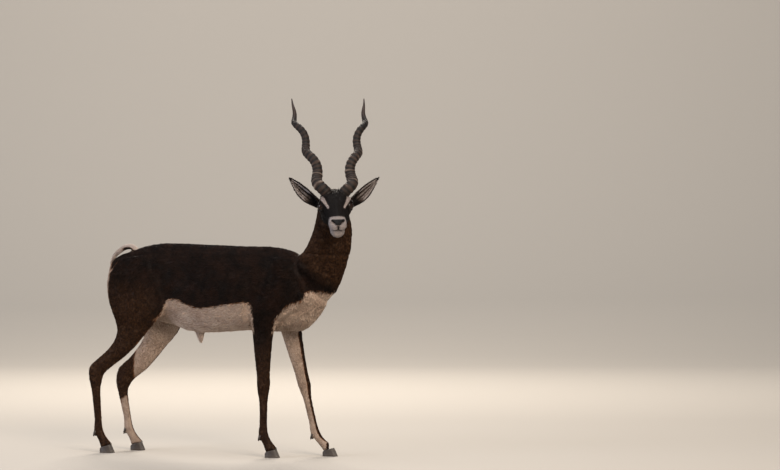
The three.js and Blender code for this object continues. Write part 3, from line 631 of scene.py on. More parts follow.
for side in (-1, 1):
    places = on_head(points)
    away, distance, outward, lean_x, lean_z = eye_parts(places, side)
    near = (distance < EYE_RADIUS + 16) & (outward > 0)
    almond = opening(lean_x, lean_z)
    clear = EYE_RADIUS + LID_THICK
    # over the ball the lid hugs it, and further off the skin keeps its own height
    hug = 1 - smoothstep(almond, 1.6, 3.4)
    lid = np.where(distance < clear, clear, distance + (clear - distance) * hug)
    behind = EYE_RADIUS - 4.5
    wanted = behind + (lid - behind) * smoothstep(almond, 1 - LID_EDGE, 1 + LID_EDGE)
    moved = away * (wanted / np.maximum(distance, 1e-6))[:, None]
    points[near] = from_head((moved + eye_middle(side))[near])
    print("lid points:", int((near & (almond < 2)).sum()))

# %% [markdown]
# The solids reach to the ends of the hair, so the skin lies deeper by the coat's depth: three
# millimetres on the trunk, and half of that on the face and down the legs. The lids and the bare
# nose stay where they are.

# %% Sink the skin by the coat's depth


def coat_depth(points):
    """Millimetres between the skin and the ends of the hair."""
    places = on_body(points)
    head = on_head(points)
    depth = 1.6 + 1.5 * smoothstep(places[:, 2], 280, 430)
    depth = depth - 2.2 * smoothstep(-places[:, 0], 385, 430) * smoothstep(places[:, 2], 560, 620)
    face = smoothstep(head[:, 0], -70, -10) * (points[:, 2] > CLEAR_OF_CHEST)
    depth = depth + (1.3 - depth) * face
    bare = smoothstep(head[:, 0], 100, 116) * (points[:, 2] > CLEAR_OF_CHEST)
    for side in (-1, 1):
        distance = eye_parts(head, side)[1]
        bare = np.maximum(bare, 1 - smoothstep(distance, EYE_RADIUS + 2, EYE_RADIUS + 12))
    return depth * (1 - bare)


normals = normals_of(points, triangles)
points = points - MM * coat_depth(points)[:, None] * normals
normals = normals_of(points, triangles)
depths = coat_depth(points)
print("coat depth in mm:", depths.min().round(2), "to", depths.max().round(2))

# %% [markdown]
# ## Arrays to meshes
# Everything from here on is made as arrays of points and faces. One function turns such arrays
# into an object, shades it smooth and hands it to the frame as a piece that stands still.

# %% Make an object from arrays


def new_piece(name, points, faces, material, marks=None):
    """A mesh object from points in metres and faces of one size, with float marks per point."""
    mesh = bpy.data.meshes.new(name)
    corners = faces.shape[1]
    mesh.vertices.add(len(points))
    mesh.vertices.foreach_set("co", np.ascontiguousarray(points, np.float32).ravel())
    mesh.loops.add(faces.size)
    mesh.loops.foreach_set("vertex_index", np.ascontiguousarray(faces, np.int32).ravel())
    mesh.polygons.add(len(faces))
    mesh.polygons.foreach_set("loop_start", np.arange(len(faces), dtype=np.int32) * corners)
    mesh.update(calc_edges=True)
    mesh.shade_smooth()
    for key, values in (marks or {}).items():
        layer = mesh.attributes.new(key, "FLOAT", "POINT")
        layer.data.foreach_set("value", np.ascontiguousarray(values, np.float32))
    mesh.materials.append(material)
    obj = bpy.data.objects.new(name, mesh)
    scene.collection.objects.link(obj)
    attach(obj, "root")
    return obj


# %% [markdown]
# ## The markings
# An adult male is nearly black above and white below, with a sharp line between. The line runs
# along the flank, up into a peak before the thigh, and across the breast. The insides of the
# legs, a patch on the rump, the tail, the lips and chin and a stripe over each eye are white too.
# The markings are worked out for any place on the body, so that skin and hair always agree.

# %% The lines of the markings, and white on the legs
# The lines of the flank and the breast, as places along the body and heights, and how far back
# the white of the hind leg's inner side reaches at each height
FLANK_X = [-340, -260, -233, -203, -193, -150, -142, -101, -61, 0, 39, 96, 125, 140, 149, 153]
FLANK_Z = [380, 450, 500, 552, 567, 570, 563, 544, 538, 543, 552, 562, 562, 548, 498, 400]
BREAST_X = [205, 213, 225, 239, 264, 290, 333, 335, 355, 419, 432, 460]
BREAST_Z = [400, 451, 492, 514, 540, 562, 573, 598, 608, 601, 609, 612]
HIND_BACK_Z = [190, 235, 262, 300, 350, 430, 500]
HIND_BACK_X = [-500, -425, -448, -445, -442, -425, -390]
# the top of the rump under the tail
RUMP_X = [-449, -441, -424, -398, -362]
RUMP_Z = [672, 696, 712, 727, 740]
# half the width of the white on the rump at each height
RUMP_WHITE_Z = [430, 500, 560, 620, 670, 716]
RUMP_WHITE_HALF = [22, 36, 58, 76, 70, 44]
# the left foreleg swings forward from its pivot, and the left hind leg stands a step ahead
LEFT_FORE_SWING = 0.265
FORE_PIVOT = 660
FORE_REACH = 175
LEFT_HIND_STEP = 60


def legs_level(places):
    """The same places if the left legs stood level with the right ones."""
    x, y, z = places.T
    swing = np.minimum(LEFT_FORE_SWING * np.maximum(FORE_PIVOT - z, 0), FORE_REACH)
    swing = swing * smoothstep(x, 60, 150) * (1 - smoothstep(x, 400, 470) * smoothstep(z, 450, 520))
    step = LEFT_HIND_STEP * smoothstep(-x, 130, 220)
    return x - smoothstep(y, 0, 10) * (swing + step), y, z


def legs_marks(places, normals):
    """White on the inside of each leg, with a dark strip down its front or its back."""
    x, y, z = legs_level(places)
    inward = -np.sign(y) * normals[:, 1]
    inside = smoothstep(inward, 0.0, 0.35)
    front_strip = smoothstep(normals[:, 0], 0.5, 0.72)
    back_strip = smoothstep(np.interp(z, HIND_BACK_Z, HIND_BACK_X) - x, -6, 6)
    inside = inside * (1 - np.where(x > 60, front_strip, back_strip))
    return np.maximum(inside, 1 - smoothstep(np.abs(y), 8, 20))


print("the left hind leg stands", LEFT_HIND_STEP, "mm ahead of the right one")

# %% White on the trunk and the tail


def trunk_marks(places, normals):
    """White under the flank's line, under the breast's line and on the rump."""
    x, y, z = legs_level(places)
    line = np.interp(x, FLANK_X, FLANK_Z)
    belly = smoothstep(line - z, -3, 5) * (x < 203)
    breast_line = np.interp(x, BREAST_X, BREAST_Z)
    breast = smoothstep(breast_line - z, -4, 6) * (x >= 203)
    under = smoothstep(-normals[:, 2], 0.55, 0.8) * (z < 520)
    between = smoothstep(45 - np.abs(y), 0, 14) * smoothstep(500 - z, 0, 30) * (x < 400)
    facing_back = smoothstep(-normals[:, 0], 0.55, 0.76)
    rump_half = np.interp(z, RUMP_WHITE_Z, RUMP_WHITE_HALF)
    rump = facing_back * smoothstep(z, 420, 470) * smoothstep(716 - z, 0, 16)
    rump = rump * smoothstep(-places[:, 0], 345, 370) * smoothstep(rump_half - np.abs(y), -6, 8)
    return np.maximum.reduce([belly, breast, under, between, rump])


def tail_marks(places, normals):
    """The tail is white, with a dark strip on its upper side and a dark root underneath."""
    near = np.full(len(places), np.inf)
    for start, end in zip(TAIL_PATH, TAIL_PATH[1:]):
        near = np.minimum(near, to_line(places, start, end))
    above = places[:, 2] - np.interp(places[:, 0], RUMP_X, RUMP_Z) > 2
    on_tail = (near < 17) & (places[:, 0] < -352) & above
    strip = smoothstep(-0.8 * normals[:, 0] + 0.5 * normals[:, 2], 0.6, 0.8)
    strip = strip * smoothstep(-places[:, 0], 397, 404) * (1 - smoothstep(-places[:, 0], 424, 432))
    root = smoothstep(-normals[:, 2], -0.1, 0.3) * smoothstep(places[:, 0], -392, -380)
    return 1 - np.maximum(strip, root), on_tail


print("places on the line of the flank:", len(FLANK_X), "and of the breast:", len(BREAST_X))

# %% White and bare skin on the face
# How far back the white of the lips reaches at each height
LIP_Z = [-60, -45, -30, -18, -8, 0, 8, 12, 18, 22]
LIP_X = [58, 62, 68, 76, 82, 80, 81, 87, 92, 97]


def face_marks(head):
    """White on the muzzle and chin and over each eye, the bare skin of the nose, and the
    painted shade that greys the face.
    """
    x, y, z = head.T
    side = np.stack([x, np.abs(y), z], axis=1)

    def near_line(start, end, inner, outer):
        return 1 - smoothstep(to_line(side, start, end), inner, outer)

    stripe = to_line(side, (-10, 51, 37), (41, 29.5, 24.5)) - 3.2 * smoothstep(-x, -34, 10)
    over_eye = 0.9 * (1 - smoothstep(stripe, 3, 6.5))
    lid_line = 0.5 * near_line((22, 52, -6), (0, 60, -12), 1.2, 3.2)
    under_eye = 0.6 * near_line((8, 60, -14), (28, 52, -25), 1.4, 4)
    lip_line = np.interp(z, LIP_Z, LIP_X)
    muzzle = 0.95 * smoothstep(x - lip_line, -3, 4)
    chin = smoothstep(x, 60, 80) * smoothstep(-z, 34, 44)
    pad_top = smoothstep(x - 112.5 + 0.22 * side[:, 1], -1.2, 1.2)
    pad_bottom = smoothstep(z - 5 - 5 * smoothstep(side[:, 1], 13, 24), -1.5, 1.5)
    pad = pad_top * pad_bottom * smoothstep(25 - side[:, 1], 0, 2)
    parting = near_line((131, 0, 5), (131, 0, -17), 1.8, 3.5)
    lip_shade = 0.35 * near_line((131, 0, 2), (128, 0, -16), 4, 10)
    mouth = near_line((130, 0, -18.5), (116, 18, -18.5), 3, 6.2)
    mouth_back = near_line((112, 21, -18.5), (78, 30, -18.5), 1.5, 3.5)
    gland = near_line((32, 51, 0), (50, 41, -12), 3.5, 6.5)
    rim = np.zeros(len(x))
    for eye_side in (-1, 1):
        _, distance, outward, lean_x, lean_z = eye_parts(head, eye_side)
        edge = 1 - smoothstep(np.abs(opening(lean_x, lean_z) - 1), 0.2, 0.7)
        rim = np.maximum(rim, edge * (distance < EYE_RADIUS + 6) * (outward > 0))
    bare = np.maximum.reduce([
        pad, 0.9 * parting, lip_shade, mouth, 0.9 * mouth_back, 0.8 * gland, rim])
    white = np.maximum.reduce([over_eye, lid_line, under_eye, muzzle, chin])
    # the third value is painted shade: it greys the whole face, a little less on the stripe over
    # each eye
    return white * (1 - bare), bare, 1 - 0.12 * smoothstep(over_eye, 0.2, 0.8)


print("places on the line of the lips:", len(LIP_X))

# %% All the markings together


def markings(points, normals):
    """White, brown, bare and painted shade, each from 0 to 1, at any places on the body."""
    places = on_body(points)
    head = on_head(points)
    x, y, z = places.T
    jaw = np.interp(head[:, 0], [-60, 0, 60, 100], [-62, -74, -70, -66])
    on_face = smoothstep(head[:, 0], -66, -36) * smoothstep(head[:, 2] - jaw, -14, 0)
    on_face = on_face * (z * MM > CLEAR_OF_CHEST) * (np.abs(head[:, 1]) < 90)
    on_neck = smoothstep(z + 0.75 * (x - 363), 660, 720) * (x > 200) * (1 - on_face)
    level_x = legs_level(places)[0]
    fore_leg = (level_x > 110) & (level_x < 300) & (z < 470)
    hind_leg = (level_x < -150) & (z < 545)
    leg = legs_marks(places, normals) * (fore_leg | hind_leg)
    trunk = trunk_marks(places, normals)
    dark_leg = (fore_leg & (z < 455)) | ((level_x < -250) & (z < 400))
    trunk = np.where(dark_leg & (np.abs(y) > 30), 0, trunk)
    white = np.maximum(trunk * (1 - on_neck), leg)
    face_white, bare, grey = face_marks(head)
    white = white * (1 - on_face) + face_white * on_face
    thigh = smoothstep(-x, 190, 300) * smoothstep(690 - z, 0, 170)
    brown = np.maximum.reduce([0.8 * on_neck, 0.8 * thigh, 0.7 * smoothstep(480 - z, 0, 200)])
    tail_white, on_tail = tail_marks(places, normals)
    white = white * (1 - on_tail) + tail_white * on_tail
    # painted shade greys the face in full and the tail by half
    grey = np.maximum(grey * on_face, 0.5 * on_tail)
    return {"white": white, "brown": brown * (1 - on_face), "bare": bare * on_face, "grey": grey}


marks = markings(points, normals)
print({key: round(float(values.mean()), 3) for key, values in marks.items()})

# %% [markdown]
# ## The coat's colour
# Hair is keratin, with a little gloss along its length. The male's dark coat is a black brown
# that turns warmer on the neck and thighs; the white is a soft warm cream, partly its own colour
# and partly painted warm light and shade, browner where the two meet. Painted shade makes both
# greyer on the face, the ears and the tail. The coat is built up like paint, layer over layer, and
# each layer lies where a mark or a grain says. The same layers go on the skin and on the hair, so
# they always agree. Each tuft also gets a shade of its own, and it is painted darker at the root,
# as the shade that hair casts on itself.

# %% The coat material
# Hair is far finer than the render can show, so it is drawn coarser. Each noise has a largest
# grain in millimetres and is then halved again a few times: hair ends at 1.6 and flecks at 2
GRAINS = [("hair", 6.4, 2.0), ("fleck", 16, 3.0), ("patch", 45, 3.0)]
PORE_GRAIN = 1.5
COAT_LAYERS = [
    # what it makes, by which mark or grain, between which of its values, from and to which colour;
    # a colour is a hex value, or what an earlier layer has made
    ("dark", "patch", (0.35, 0.7), "130b07", "24150d"),
    # painted shade turns the dark on the face, the ears and the tail a duller black
    ("dark", "grey", (), "dark", "14100f"),
    ("brown", "hair", (0.35, 0.75), "28180f", "523822"),
    ("brown", "fleck", (0.56, 0.7, 0.0, 0.55), "brown", "6a5341"),
    ("base", "brown", (), "dark", "brown"),
    # the cream is partly the white hair's own colour and partly painted warm light and shade, which
    # make it warmer and darker
    ("pale", "patch", (0.3, 0.75), "b09b8c", "d0bdad"),
    # painted shade greys the pale and the warm border there too
    ("pale", "grey", (), "pale", "a39c9b"),
    ("border", "grey", (), "855a3b", "574b45"),
    ("coat", "ragged", (0.28, 0.6), "base", "border"),
    ("coat", "ragged", (0.6, 0.98), "coat", "pale"),
    ("coat", "bare", (), "coat", "0b0909"),
    ("root", "along", (0.0, 0.6), "8c8079", "ffffff"),
]
# factors for the darkest and the lightest tufts, which differ less in the white than in the dark
TUFT_SHADES = [
    ((0.55, 0.53, 0.52, 1), (0.78, 0.77, 0.76, 1)),
    ((1.6, 1.55, 1.5, 1), (1.14, 1.13, 1.12, 1)),
]
RAGGEDNESS = 0.35
ROUGH_HAIR_AND_NOSE = (0.62, 0.4)
GLOSS_HAIR_AND_NOSE = (0.12, 0.14)


def coat_material(name, bump_height):
    """Short hair: dull and soft to the eye, as each hair throws the light its own way."""
    material, tree = new_material(name)
    place = add(tree, "ShaderNodeNewGeometry")
    by = {key: add(tree, "ShaderNodeAttribute", attribute_name=key).outputs["Fac"]
          for key in ("white", "brown", "bare", "grey", "along", "own_shade")}
    for key, grain, detail in GRAINS:
        by[key] = add(tree, "ShaderNodeTexNoise", {
            "Vector": place, "Scale": 1000 / grain, "Detail": detail})
    # hair of both colours mingles where they meet, so the line is a little ragged
    mingled = add(tree, "ShaderNodeMath", {0: by["hair"], 1: RAGGEDNESS}, operation="MULTIPLY")
    by["ragged"] = add(tree, "ShaderNodeMath", {0: by["white"], 1: mingled}, operation="ADD")
    made = {}
    for layer, where, limits, *pair in COAT_LAYERS:
        share = by[where]
        if limits:
            ends = dict(zip(("From Min", "From Max", "To Min", "To Max"), limits))
            share = add(tree, "ShaderNodeMapRange", {"Value": share, **ends})
        first, second = [made[key] if key in made else linear(key) for key in pair]
        made[layer] = add(tree, "ShaderNodeMixRGB", {
            "Fac": share, "Color1": first, "Color2": second})
    darkest, lightest = [
        add(tree, "ShaderNodeMixRGB", {"Fac": by["white"], "Color1": in_dark, "Color2": in_white})
        for in_dark, in_white in TUFT_SHADES]
    own = add(tree, "ShaderNodeMixRGB", {
        "Fac": by["own_shade"], "Color1": darkest, "Color2": lightest})
    coat = made["coat"]
    for factor in (made["root"], own):
        coat = add(tree, "ShaderNodeMixRGB", {"Fac": 1.0, "Color1": coat, "Color2": factor},
                   blend_type="MULTIPLY")
    pores = add(tree, "ShaderNodeTexVoronoi", {"Vector": place, "Scale": 1000 / PORE_GRAIN})
    relief = add(tree, "ShaderNodeMixRGB", {
        "Fac": by["bare"], "Color1": by["hair"], "Color2": pores})
    rough, gloss = [
        add(tree, "ShaderNodeMapRange", {"Value": by["bare"], "To Min": on_hair, "To Max": on_nose})
        for on_hair, on_nose in (ROUGH_HAIR_AND_NOSE, GLOSS_HAIR_AND_NOSE)]
    bump = add(tree, "ShaderNodeBump", {"Height": relief, "Distance": bump_height * MM})
    finish_material(tree, add(tree, "ShaderNodeBsdfPrincipled", {
        "Base Color": coat, "Roughness": rough, "Specular IOR Level": gloss, "Normal": bump}))
    return material


skin_coat = coat_material("short_coat_on_skin", 0.8)
hair_coat = coat_material("short_coat_hair", 0.2)
marks["along"] = np.full(len(points), 0.35)
marks["own_shade"] = np.full(len(points), 0.45)
skin = new_piece("skin", points, triangles, skin_coat, marks)
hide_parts(*FLESH, "tail")
print("skin triangles:", len(triangles))

# %% [markdown]
# ## Curves and lofts
# Horns and ears grow along a line. Two helpers serve both: one draws a smooth curve through a few
# places and steps evenly along it, and one skins a stack of rings into a closed surface.

# %% A smooth curve, and a skin over rings


def unit(vectors):
    return vectors / np.maximum(np.linalg.norm(vectors, axis=-1, keepdims=True), 1e-12)


def along_curve(places, shares):
    """Points on a smooth curve through some places, at shares of its length from 0 to 1."""
    knots = np.array(places, float)
    knots = np.vstack([2 * knots[0] - knots[1], knots, 2 * knots[-1] - knots[-2]])
    t = np.linspace(0, 1, 60, endpoint=False)[:, None]
    drawn = []
    for before, start, end, after in zip(knots, knots[1:], knots[2:], knots[3:]):
        lead, gap, tail = [math.sqrt(np.linalg.norm(step))
                           for step in (start - before, end - start, after - end)]
        leave = ((start - before) / lead - (end - before) / (lead + gap)) * gap + end - start
        arrive = ((after - end) / tail - (after - start) / (gap + tail)) * gap + end - start
        square = 3 * (end - start) - 2 * leave - arrive
        cube = 2 * (start - end) + leave + arrive
        drawn.append(start + leave * t + square * t ** 2 + cube * t ** 3)
    drawn = np.vstack(drawn + [knots[-2:-1]])
    lengths = np.linalg.norm(np.diff(drawn, axis=0), axis=1).cumsum()
    lengths = np.concatenate([[0], lengths])
    wanted = np.asarray(shares) * lengths[-1]
    return np.stack([np.interp(wanted, lengths, drawn[:, axis]) for axis in range(3)], axis=1)


def facing_out(points, faces):
    """Turns all the triangles of a closed surface over if they face inwards."""
    corners = points[faces]
    volume = np.einsum("ij,ij->i", corners[:, 0], np.cross(corners[:, 1], corners[:, 2])).sum()
    return faces if volume > 0 else faces[:, ::-1]


def bands(index):
    """Two triangles for each square between one ring of points and the next."""
    turned = np.roll(index, -1, axis=1)
    near, near_next, far_next, far = [
        part.ravel() for part in (index[:-1], turned[:-1], turned[1:], index[1:])]
    halves = ((near, near_next, far_next), (near, far_next, far))
    return np.vstack([np.stack(half, axis=1) for half in halves])


def loft(rings):
    """A closed surface over a stack of rings, with a fan of triangles on each end."""
    count, sides = rings.shape[:2]
    points = np.vstack([rings.reshape(-1, 3), [rings[0].mean(axis=0), rings[-1].mean(axis=0)]])
    index = np.arange(count * sides).reshape(count, sides)
    turned = np.roll(index, -1, axis=1)
    first = np.full(sides, count * sides)
    faces = np.vstack([
        bands(index),
        np.stack([turned[0], index[0], first], axis=1),
        np.stack([index[-1], turned[-1], first + 1], axis=1),
    ])
    return points, facing_out(points, faces)


print("half way along a bend:", along_curve([(0, 0, 0), (10, 4, 0), (20, 0, 0)], [0.5]).round(2))

# %% [markdown]
# ## The horns
# Only males carry horns, and these wind more than three times in a corkscrew that opens as it
# rises. Each ring is one swelling of the sheath, strongest in front, with a groove behind it.
# The ridges are painted pale as highlights and the grooves black as painted shade, with random
# stains over both, and the last fifth is smooth and polished. The horn of the animal's left winds
# one way and the right one the other way, so one function makes both and mirrors the second.

# %% Places along a horn
HORN_AXIS = [(-5, 27, 43), (-12, 49, 78), (-58, 66, 130), (-112, 82, 190), (-168, 104, 250),
             (-216, 120, 300), (-256, 128, 343), (-296, 132, 387)]
GIRTH_AT = [0, 0.12, 0.3, 0.5, 0.66, 0.78, 0.88, 1]
GIRTH = [21, 19, 16.4, 13.8, 12.2, 9.6, 6.3, 1.6]
RINGS = 26
RINGED_SHARE = 0.8
RING_CROWDING = 1.08
RING_RISE = 2.3
RING_STEPS = 14
HORN_TURNS = 3.15
FIRST_TURN = math.radians(-40)
HELIX_RADIUS = 9.5
HORN_SIDES = 40
# millimetres, as drawn: the real fibres are about half a millimetre, too fine to show
HORN_FIBRE = 2
HORN_STAIN = 500 / 19

ring_starts = (np.arange(RINGS + 1) / RINGS) ** RING_CROWDING * RINGED_SHARE
horn_at = np.concatenate([
    np.interp(np.arange(RINGS * RING_STEPS) / RING_STEPS, np.arange(RINGS + 1), ring_starts),
    np.linspace(RINGED_SHARE, 1, 40),
])
ring_sizes = rng.uniform(0.75, 1.2, (RINGS + 2, 2))
print("sections of a horn:", len(horn_at))

# %% Both horns


def horn_rings(side):
    """The rings of points of one horn, in the level frame of the head, and its two marks."""
    at = horn_at[:, None]
    axis = along_curve(HORN_AXIS, horn_at)
    tangent = unit(np.gradient(axis, axis=0))
    out = unit(np.array((0, 1, 0)) - tangent * tangent[:, 1:2])
    fore = np.cross(out, tangent)
    wound = HELIX_RADIUS * smoothstep(at, 0, 0.1) * (1 - smoothstep(at, 0.72, 0.96))
    phase = 2 * np.pi * HORN_TURNS * at + FIRST_TURN
    centre = axis + wound * (np.cos(phase) * fore + np.sin(phase) * out)
    tangent = unit(np.gradient(centre, axis=0))
    across = unit(np.array((0, 1, 0)) - tangent * tangent[:, 1:2])
    over = np.cross(tangent, across)
    angle = np.linspace(0, 2 * np.pi, HORN_SIDES, endpoint=False)
    ring = RINGS * (np.minimum(at, RINGED_SHARE) / RINGED_SHARE) ** (1 / RING_CROWDING)
    # the rings lean, and they lean with the corkscrew
    leaned = ring + 0.11 * np.sin(angle - phase) * smoothstep(ring, 0, 1.5)
    leaned = np.clip(leaned, 0, RINGS)
    number = np.floor(leaned).astype(int)
    crest = np.abs(np.sin(np.pi * leaned)) ** 1.3
    own = ring_sizes[number, 0 if side > 0 else 1]
    fade = 1 - 0.75 * (ring / RINGS) ** 3
    front = 0.82 + 0.18 * np.cos(angle - np.pi / 2)
    grown = 0.35 + 0.65 * smoothstep(ring, 0.5, 3)
    crest = crest * own * fade * front * grown * (at < RINGED_SHARE)
    flutes = 0.22 * np.sin(9 * angle + 3 * np.sin(2 * angle) + 4 * at) * smoothstep(1 - at, 0, 0.3)
    radius = np.interp(horn_at, GIRTH_AT, GIRTH)[:, None] + RING_RISE * crest + flutes
    round_horn = (np.cos(angle)[None, :, None] * across[:, None]
                  + np.sin(angle)[None, :, None] * over[:, None])
    ring_points = centre[:, None] + radius[..., None] * round_horn
    return ring_points * (1, side, 1), crest, np.broadcast_to(at, crest.shape)


def horn_material():
    """Horn keratin: fibres grown lengthwise, painted shade in the grooves and painted
    highlights on the rings.
    """
    material, tree = new_material("horn_keratin_sheath")
    ridge, at = [add(tree, "ShaderNodeAttribute", attribute_name=key).outputs["Fac"]
                 for key in ("ridge", "at")]
    place = add(tree, "ShaderNodeNewGeometry")
    fibre, stain = [
        add(tree, "ShaderNodeTexNoise", {"Vector": place, "Scale": 1000 / size, "Detail": detail})
        for size, detail in ((HORN_FIBRE, 3.0), (HORN_STAIN, 4.0))]
    # the ramp's dark end is painted shade in the grooves and its pale end painted highlights on the
    # ridges, with random stains over both
    dust_stain_and_ridge_light = add(tree, "ShaderNodeMath", {0: stain, 1: 0.7, 2: -0.35}, operation="MULTIPLY_ADD")
    dust_stain_and_ridge_light = add(tree, "ShaderNodeMath", {0: ridge, 1: dust_stain_and_ridge_light}, operation="ADD")
    ringed = add(tree, "ShaderNodeValToRGB", {"Fac": dust_stain_and_ridge_light})
    stops = ringed.color_ramp.elements
    stops[0].position, stops[0].color = 0.1, linear("0e0a08")
    stops[1].position, stops[1].color = 1.0, linear("7c6e63")
    middle_stop = stops.new(0.62)
    middle_stop.color = linear("33261f")
    polished = add(tree, "ShaderNodeMixRGB", {
        "Fac": stain, "Color1": linear("17100d"), "Color2": linear("40312a")})
    tip = add(tree, "ShaderNodeMapRange", {"Value": at, "From Min": 0.76, "From Max": 0.86})
    colour = add(tree, "ShaderNodeMixRGB", {"Fac": tip, "Color1": ringed, "Color2": polished})
    speckle = add(tree, "ShaderNodeMixRGB", {
        "Fac": fibre, "Color1": (0.7, 0.7, 0.7, 1), "Color2": (1.2, 1.2, 1.2, 1)})
    colour = add(tree, "ShaderNodeMixRGB", {"Fac": 1.0, "Color1": colour, "Color2": speckle},
                 blend_type="MULTIPLY")
    # the rings are dull, and the smooth end is polished
    rough = add(tree, "ShaderNodeMapRange", {
        "Value": at, "From Min": 0.7, "From Max": 0.95, "To Min": 0.62, "To Max": 0.4})
    bump = add(tree, "ShaderNodeBump", {"Height": fibre, "Distance": 0.4 * MM})
    finish_material(tree, add(tree, "ShaderNodeBsdfPrincipled", {
        "Base Color": colour, "Specular IOR Level": 0.22, "Roughness": rough, "Normal": bump}))
    return material


horn_finish = horn_material()
for name, side in SIDES:
    rings, crest, at = horn_rings(side)
    horn_points, horn_faces = loft(rings)
    ends = {"ridge": np.append(crest.ravel(), [0, 0]), "at": np.append(at.ravel(), [0, 1])}
    horn = new_piece("horn_sheath_" + name, from_head(horn_points, LEVEL_TURN), horn_faces,
                     horn_finish, ends)
    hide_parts("horn_" + name)
    print(horn.name, "triangles:", len(horn_faces))

# %% [markdown]
# ## The eyes
# An antelope's eye is a big dark ball with a clear bulge in front. The iris is a brown so deep
# that it hardly parts from the pupil, which is a wide level slot: it lets the animal watch the
# whole horizon. The wet surface mirrors every lamp, and that glint is what makes it look alive.

# %% Both eyes
EYE_STEPS = 40
EYE_SIDES = 56
IRIS_RADIUS = 13.5
IRIS_FIBRE = 10 / 7
PUPIL_HALF = (6.5, 3.5)
BULGE = 1.3


def eye_material():
    """A wet eye: deep brown fibres round a slot of black, under a clear glossy film."""
    material, tree = new_material("wet_eye")
    place = add(tree, "ShaderNodeNewGeometry")
    fibre = add(tree, "ShaderNodeTexNoise", {
        "Vector": place, "Scale": 1000 / IRIS_FIBRE, "Detail": 2.0})
    colour = add(tree, "ShaderNodeMixRGB", {
        "Fac": fibre, "Color1": linear("100905"), "Color2": linear("27160b")})
    sideways, up = [add(tree, "ShaderNodeAttribute", attribute_name=key).outputs["Fac"]
                    for key in ("across", "up")]
    # inside an oval lies one colour and outside it the next: the slot, then the ring of the iris
    for half_wide, half_high, inner, outer, inside_colour, outside_colour in (
            (*PUPIL_HALF, 0.85, 1.1, linear("030405"), colour),
            (IRIS_RADIUS, IRIS_RADIUS, 0.92, 1.08, None, linear("150d09"))):
        shares = [add(tree, "ShaderNodeMath", {0: value, 1: 1 / half}, operation="MULTIPLY")
                  for value, half in ((sideways, half_wide), (up, half_high))]
        flat = add(tree, "ShaderNodeCombineXYZ", {"X": shares[0], "Y": shares[1]})
        far = add(tree, "ShaderNodeVectorMath", {0: flat}, operation="LENGTH").outputs["Value"]
        edge = add(tree, "ShaderNodeMapRange", {
            "Value": far, "From Min": inner, "From Max": outer})
        colour = add(tree, "ShaderNodeMixRGB", {
            "Fac": edge, "Color1": inside_colour or colour, "Color2": outside_colour})
    finish_material(tree, add(tree, "ShaderNodeBsdfPrincipled", {
        "Base Color": colour, "Roughness": 0.05, "IOR": 1.33}))
    return material


eye_finish = eye_material()
for name, side in SIDES:
    gaze = unit(np.array((math.sin(GAZE_FORWARD), side * math.cos(GAZE_FORWARD), 0.04)))
    level = unit(np.cross((0, 0, 1), gaze))
    upward = np.cross(gaze, level)
    turn_out = np.linspace(0.01, np.pi - 0.01, EYE_STEPS)[:, None, None]
    round_about = np.linspace(0, 2 * np.pi, EYE_SIDES, endpoint=False)[None, :, None]
    sideways = np.cos(round_about) * level + np.sin(round_about) * upward
    ball = np.cos(turn_out) * gaze + np.sin(turn_out) * sideways
    off_axis = EYE_RADIUS * np.sin(turn_out)
    in_front = (turn_out < np.pi / 2) * (off_axis < IRIS_RADIUS)
    dome = np.maximum(1 - (off_axis / IRIS_RADIUS) ** 2, 0) ** 1.5
    rise = EYE_RADIUS + BULGE * in_front * dome
    eye_points, eye_faces = loft(ball * rise)
    looks = {"across": eye_points @ level, "up": eye_points @ upward}
    eye = new_piece("eyeball_" + name, from_head(eye_points + eye_middle(side)), eye_faces,
                    eye_finish, looks)
    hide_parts("eye_" + name)
    print(eye.name, "triangles:", len(eye_faces))

# %% [markdown]
# ## The ears
# Each ear is a leaf of gristle rolled to a tube at its root. Its back has the dark coat of the
# head. Inside it is pale, with fine white hair along two ribs and a dark groove between them. The
# leaf is a grid bent round an arc that opens towards the tip, with an outer and an inner face.

# %% Both ears
EAR_LENGTH = 155
EAR_BOW = 8
EAR_WALL = 2.2
EAR_ROOT = np.array((-42, 46, 3))
EAR_TIP = np.array((-54, 167, 109))
EAR_OPENS = np.array((0.93, 0.25, -0.22))
EAR_AT = [0, 0.1, 0.22, 0.38, 0.55, 0.72, 0.86, 0.95, 1]
EAR_HALF = [13, 15, 18, 21.5, 22, 18.5, 12, 6, 2]
EAR_ROLL = [2.7, 2.5, 2.1, 1.75, 1.5, 1.3, 1.15, 1, 0.9]
EAR_STEPS = 64
EAR_COLUMNS = 37
# shares across the ear: its two ribs, and its dark streaks with how wide and how deep they are
EAR_RIBS = (0.3, -0.35)
EAR_STREAKS = [(0.14, 0.17, 1.0), (-0.3, 0.08, 0.85), (-0.62, 0.06, 0.6)]


def eased(values, rounds=6):
    """Rounds off the corners of a row of numbers and keeps its ends."""
    for _ in range(rounds):
        values = np.concatenate([values[:1], (values[:-2] + 2 * values[1:-1] + values[2:]) / 4,
                                 values[-1:]])
    return values


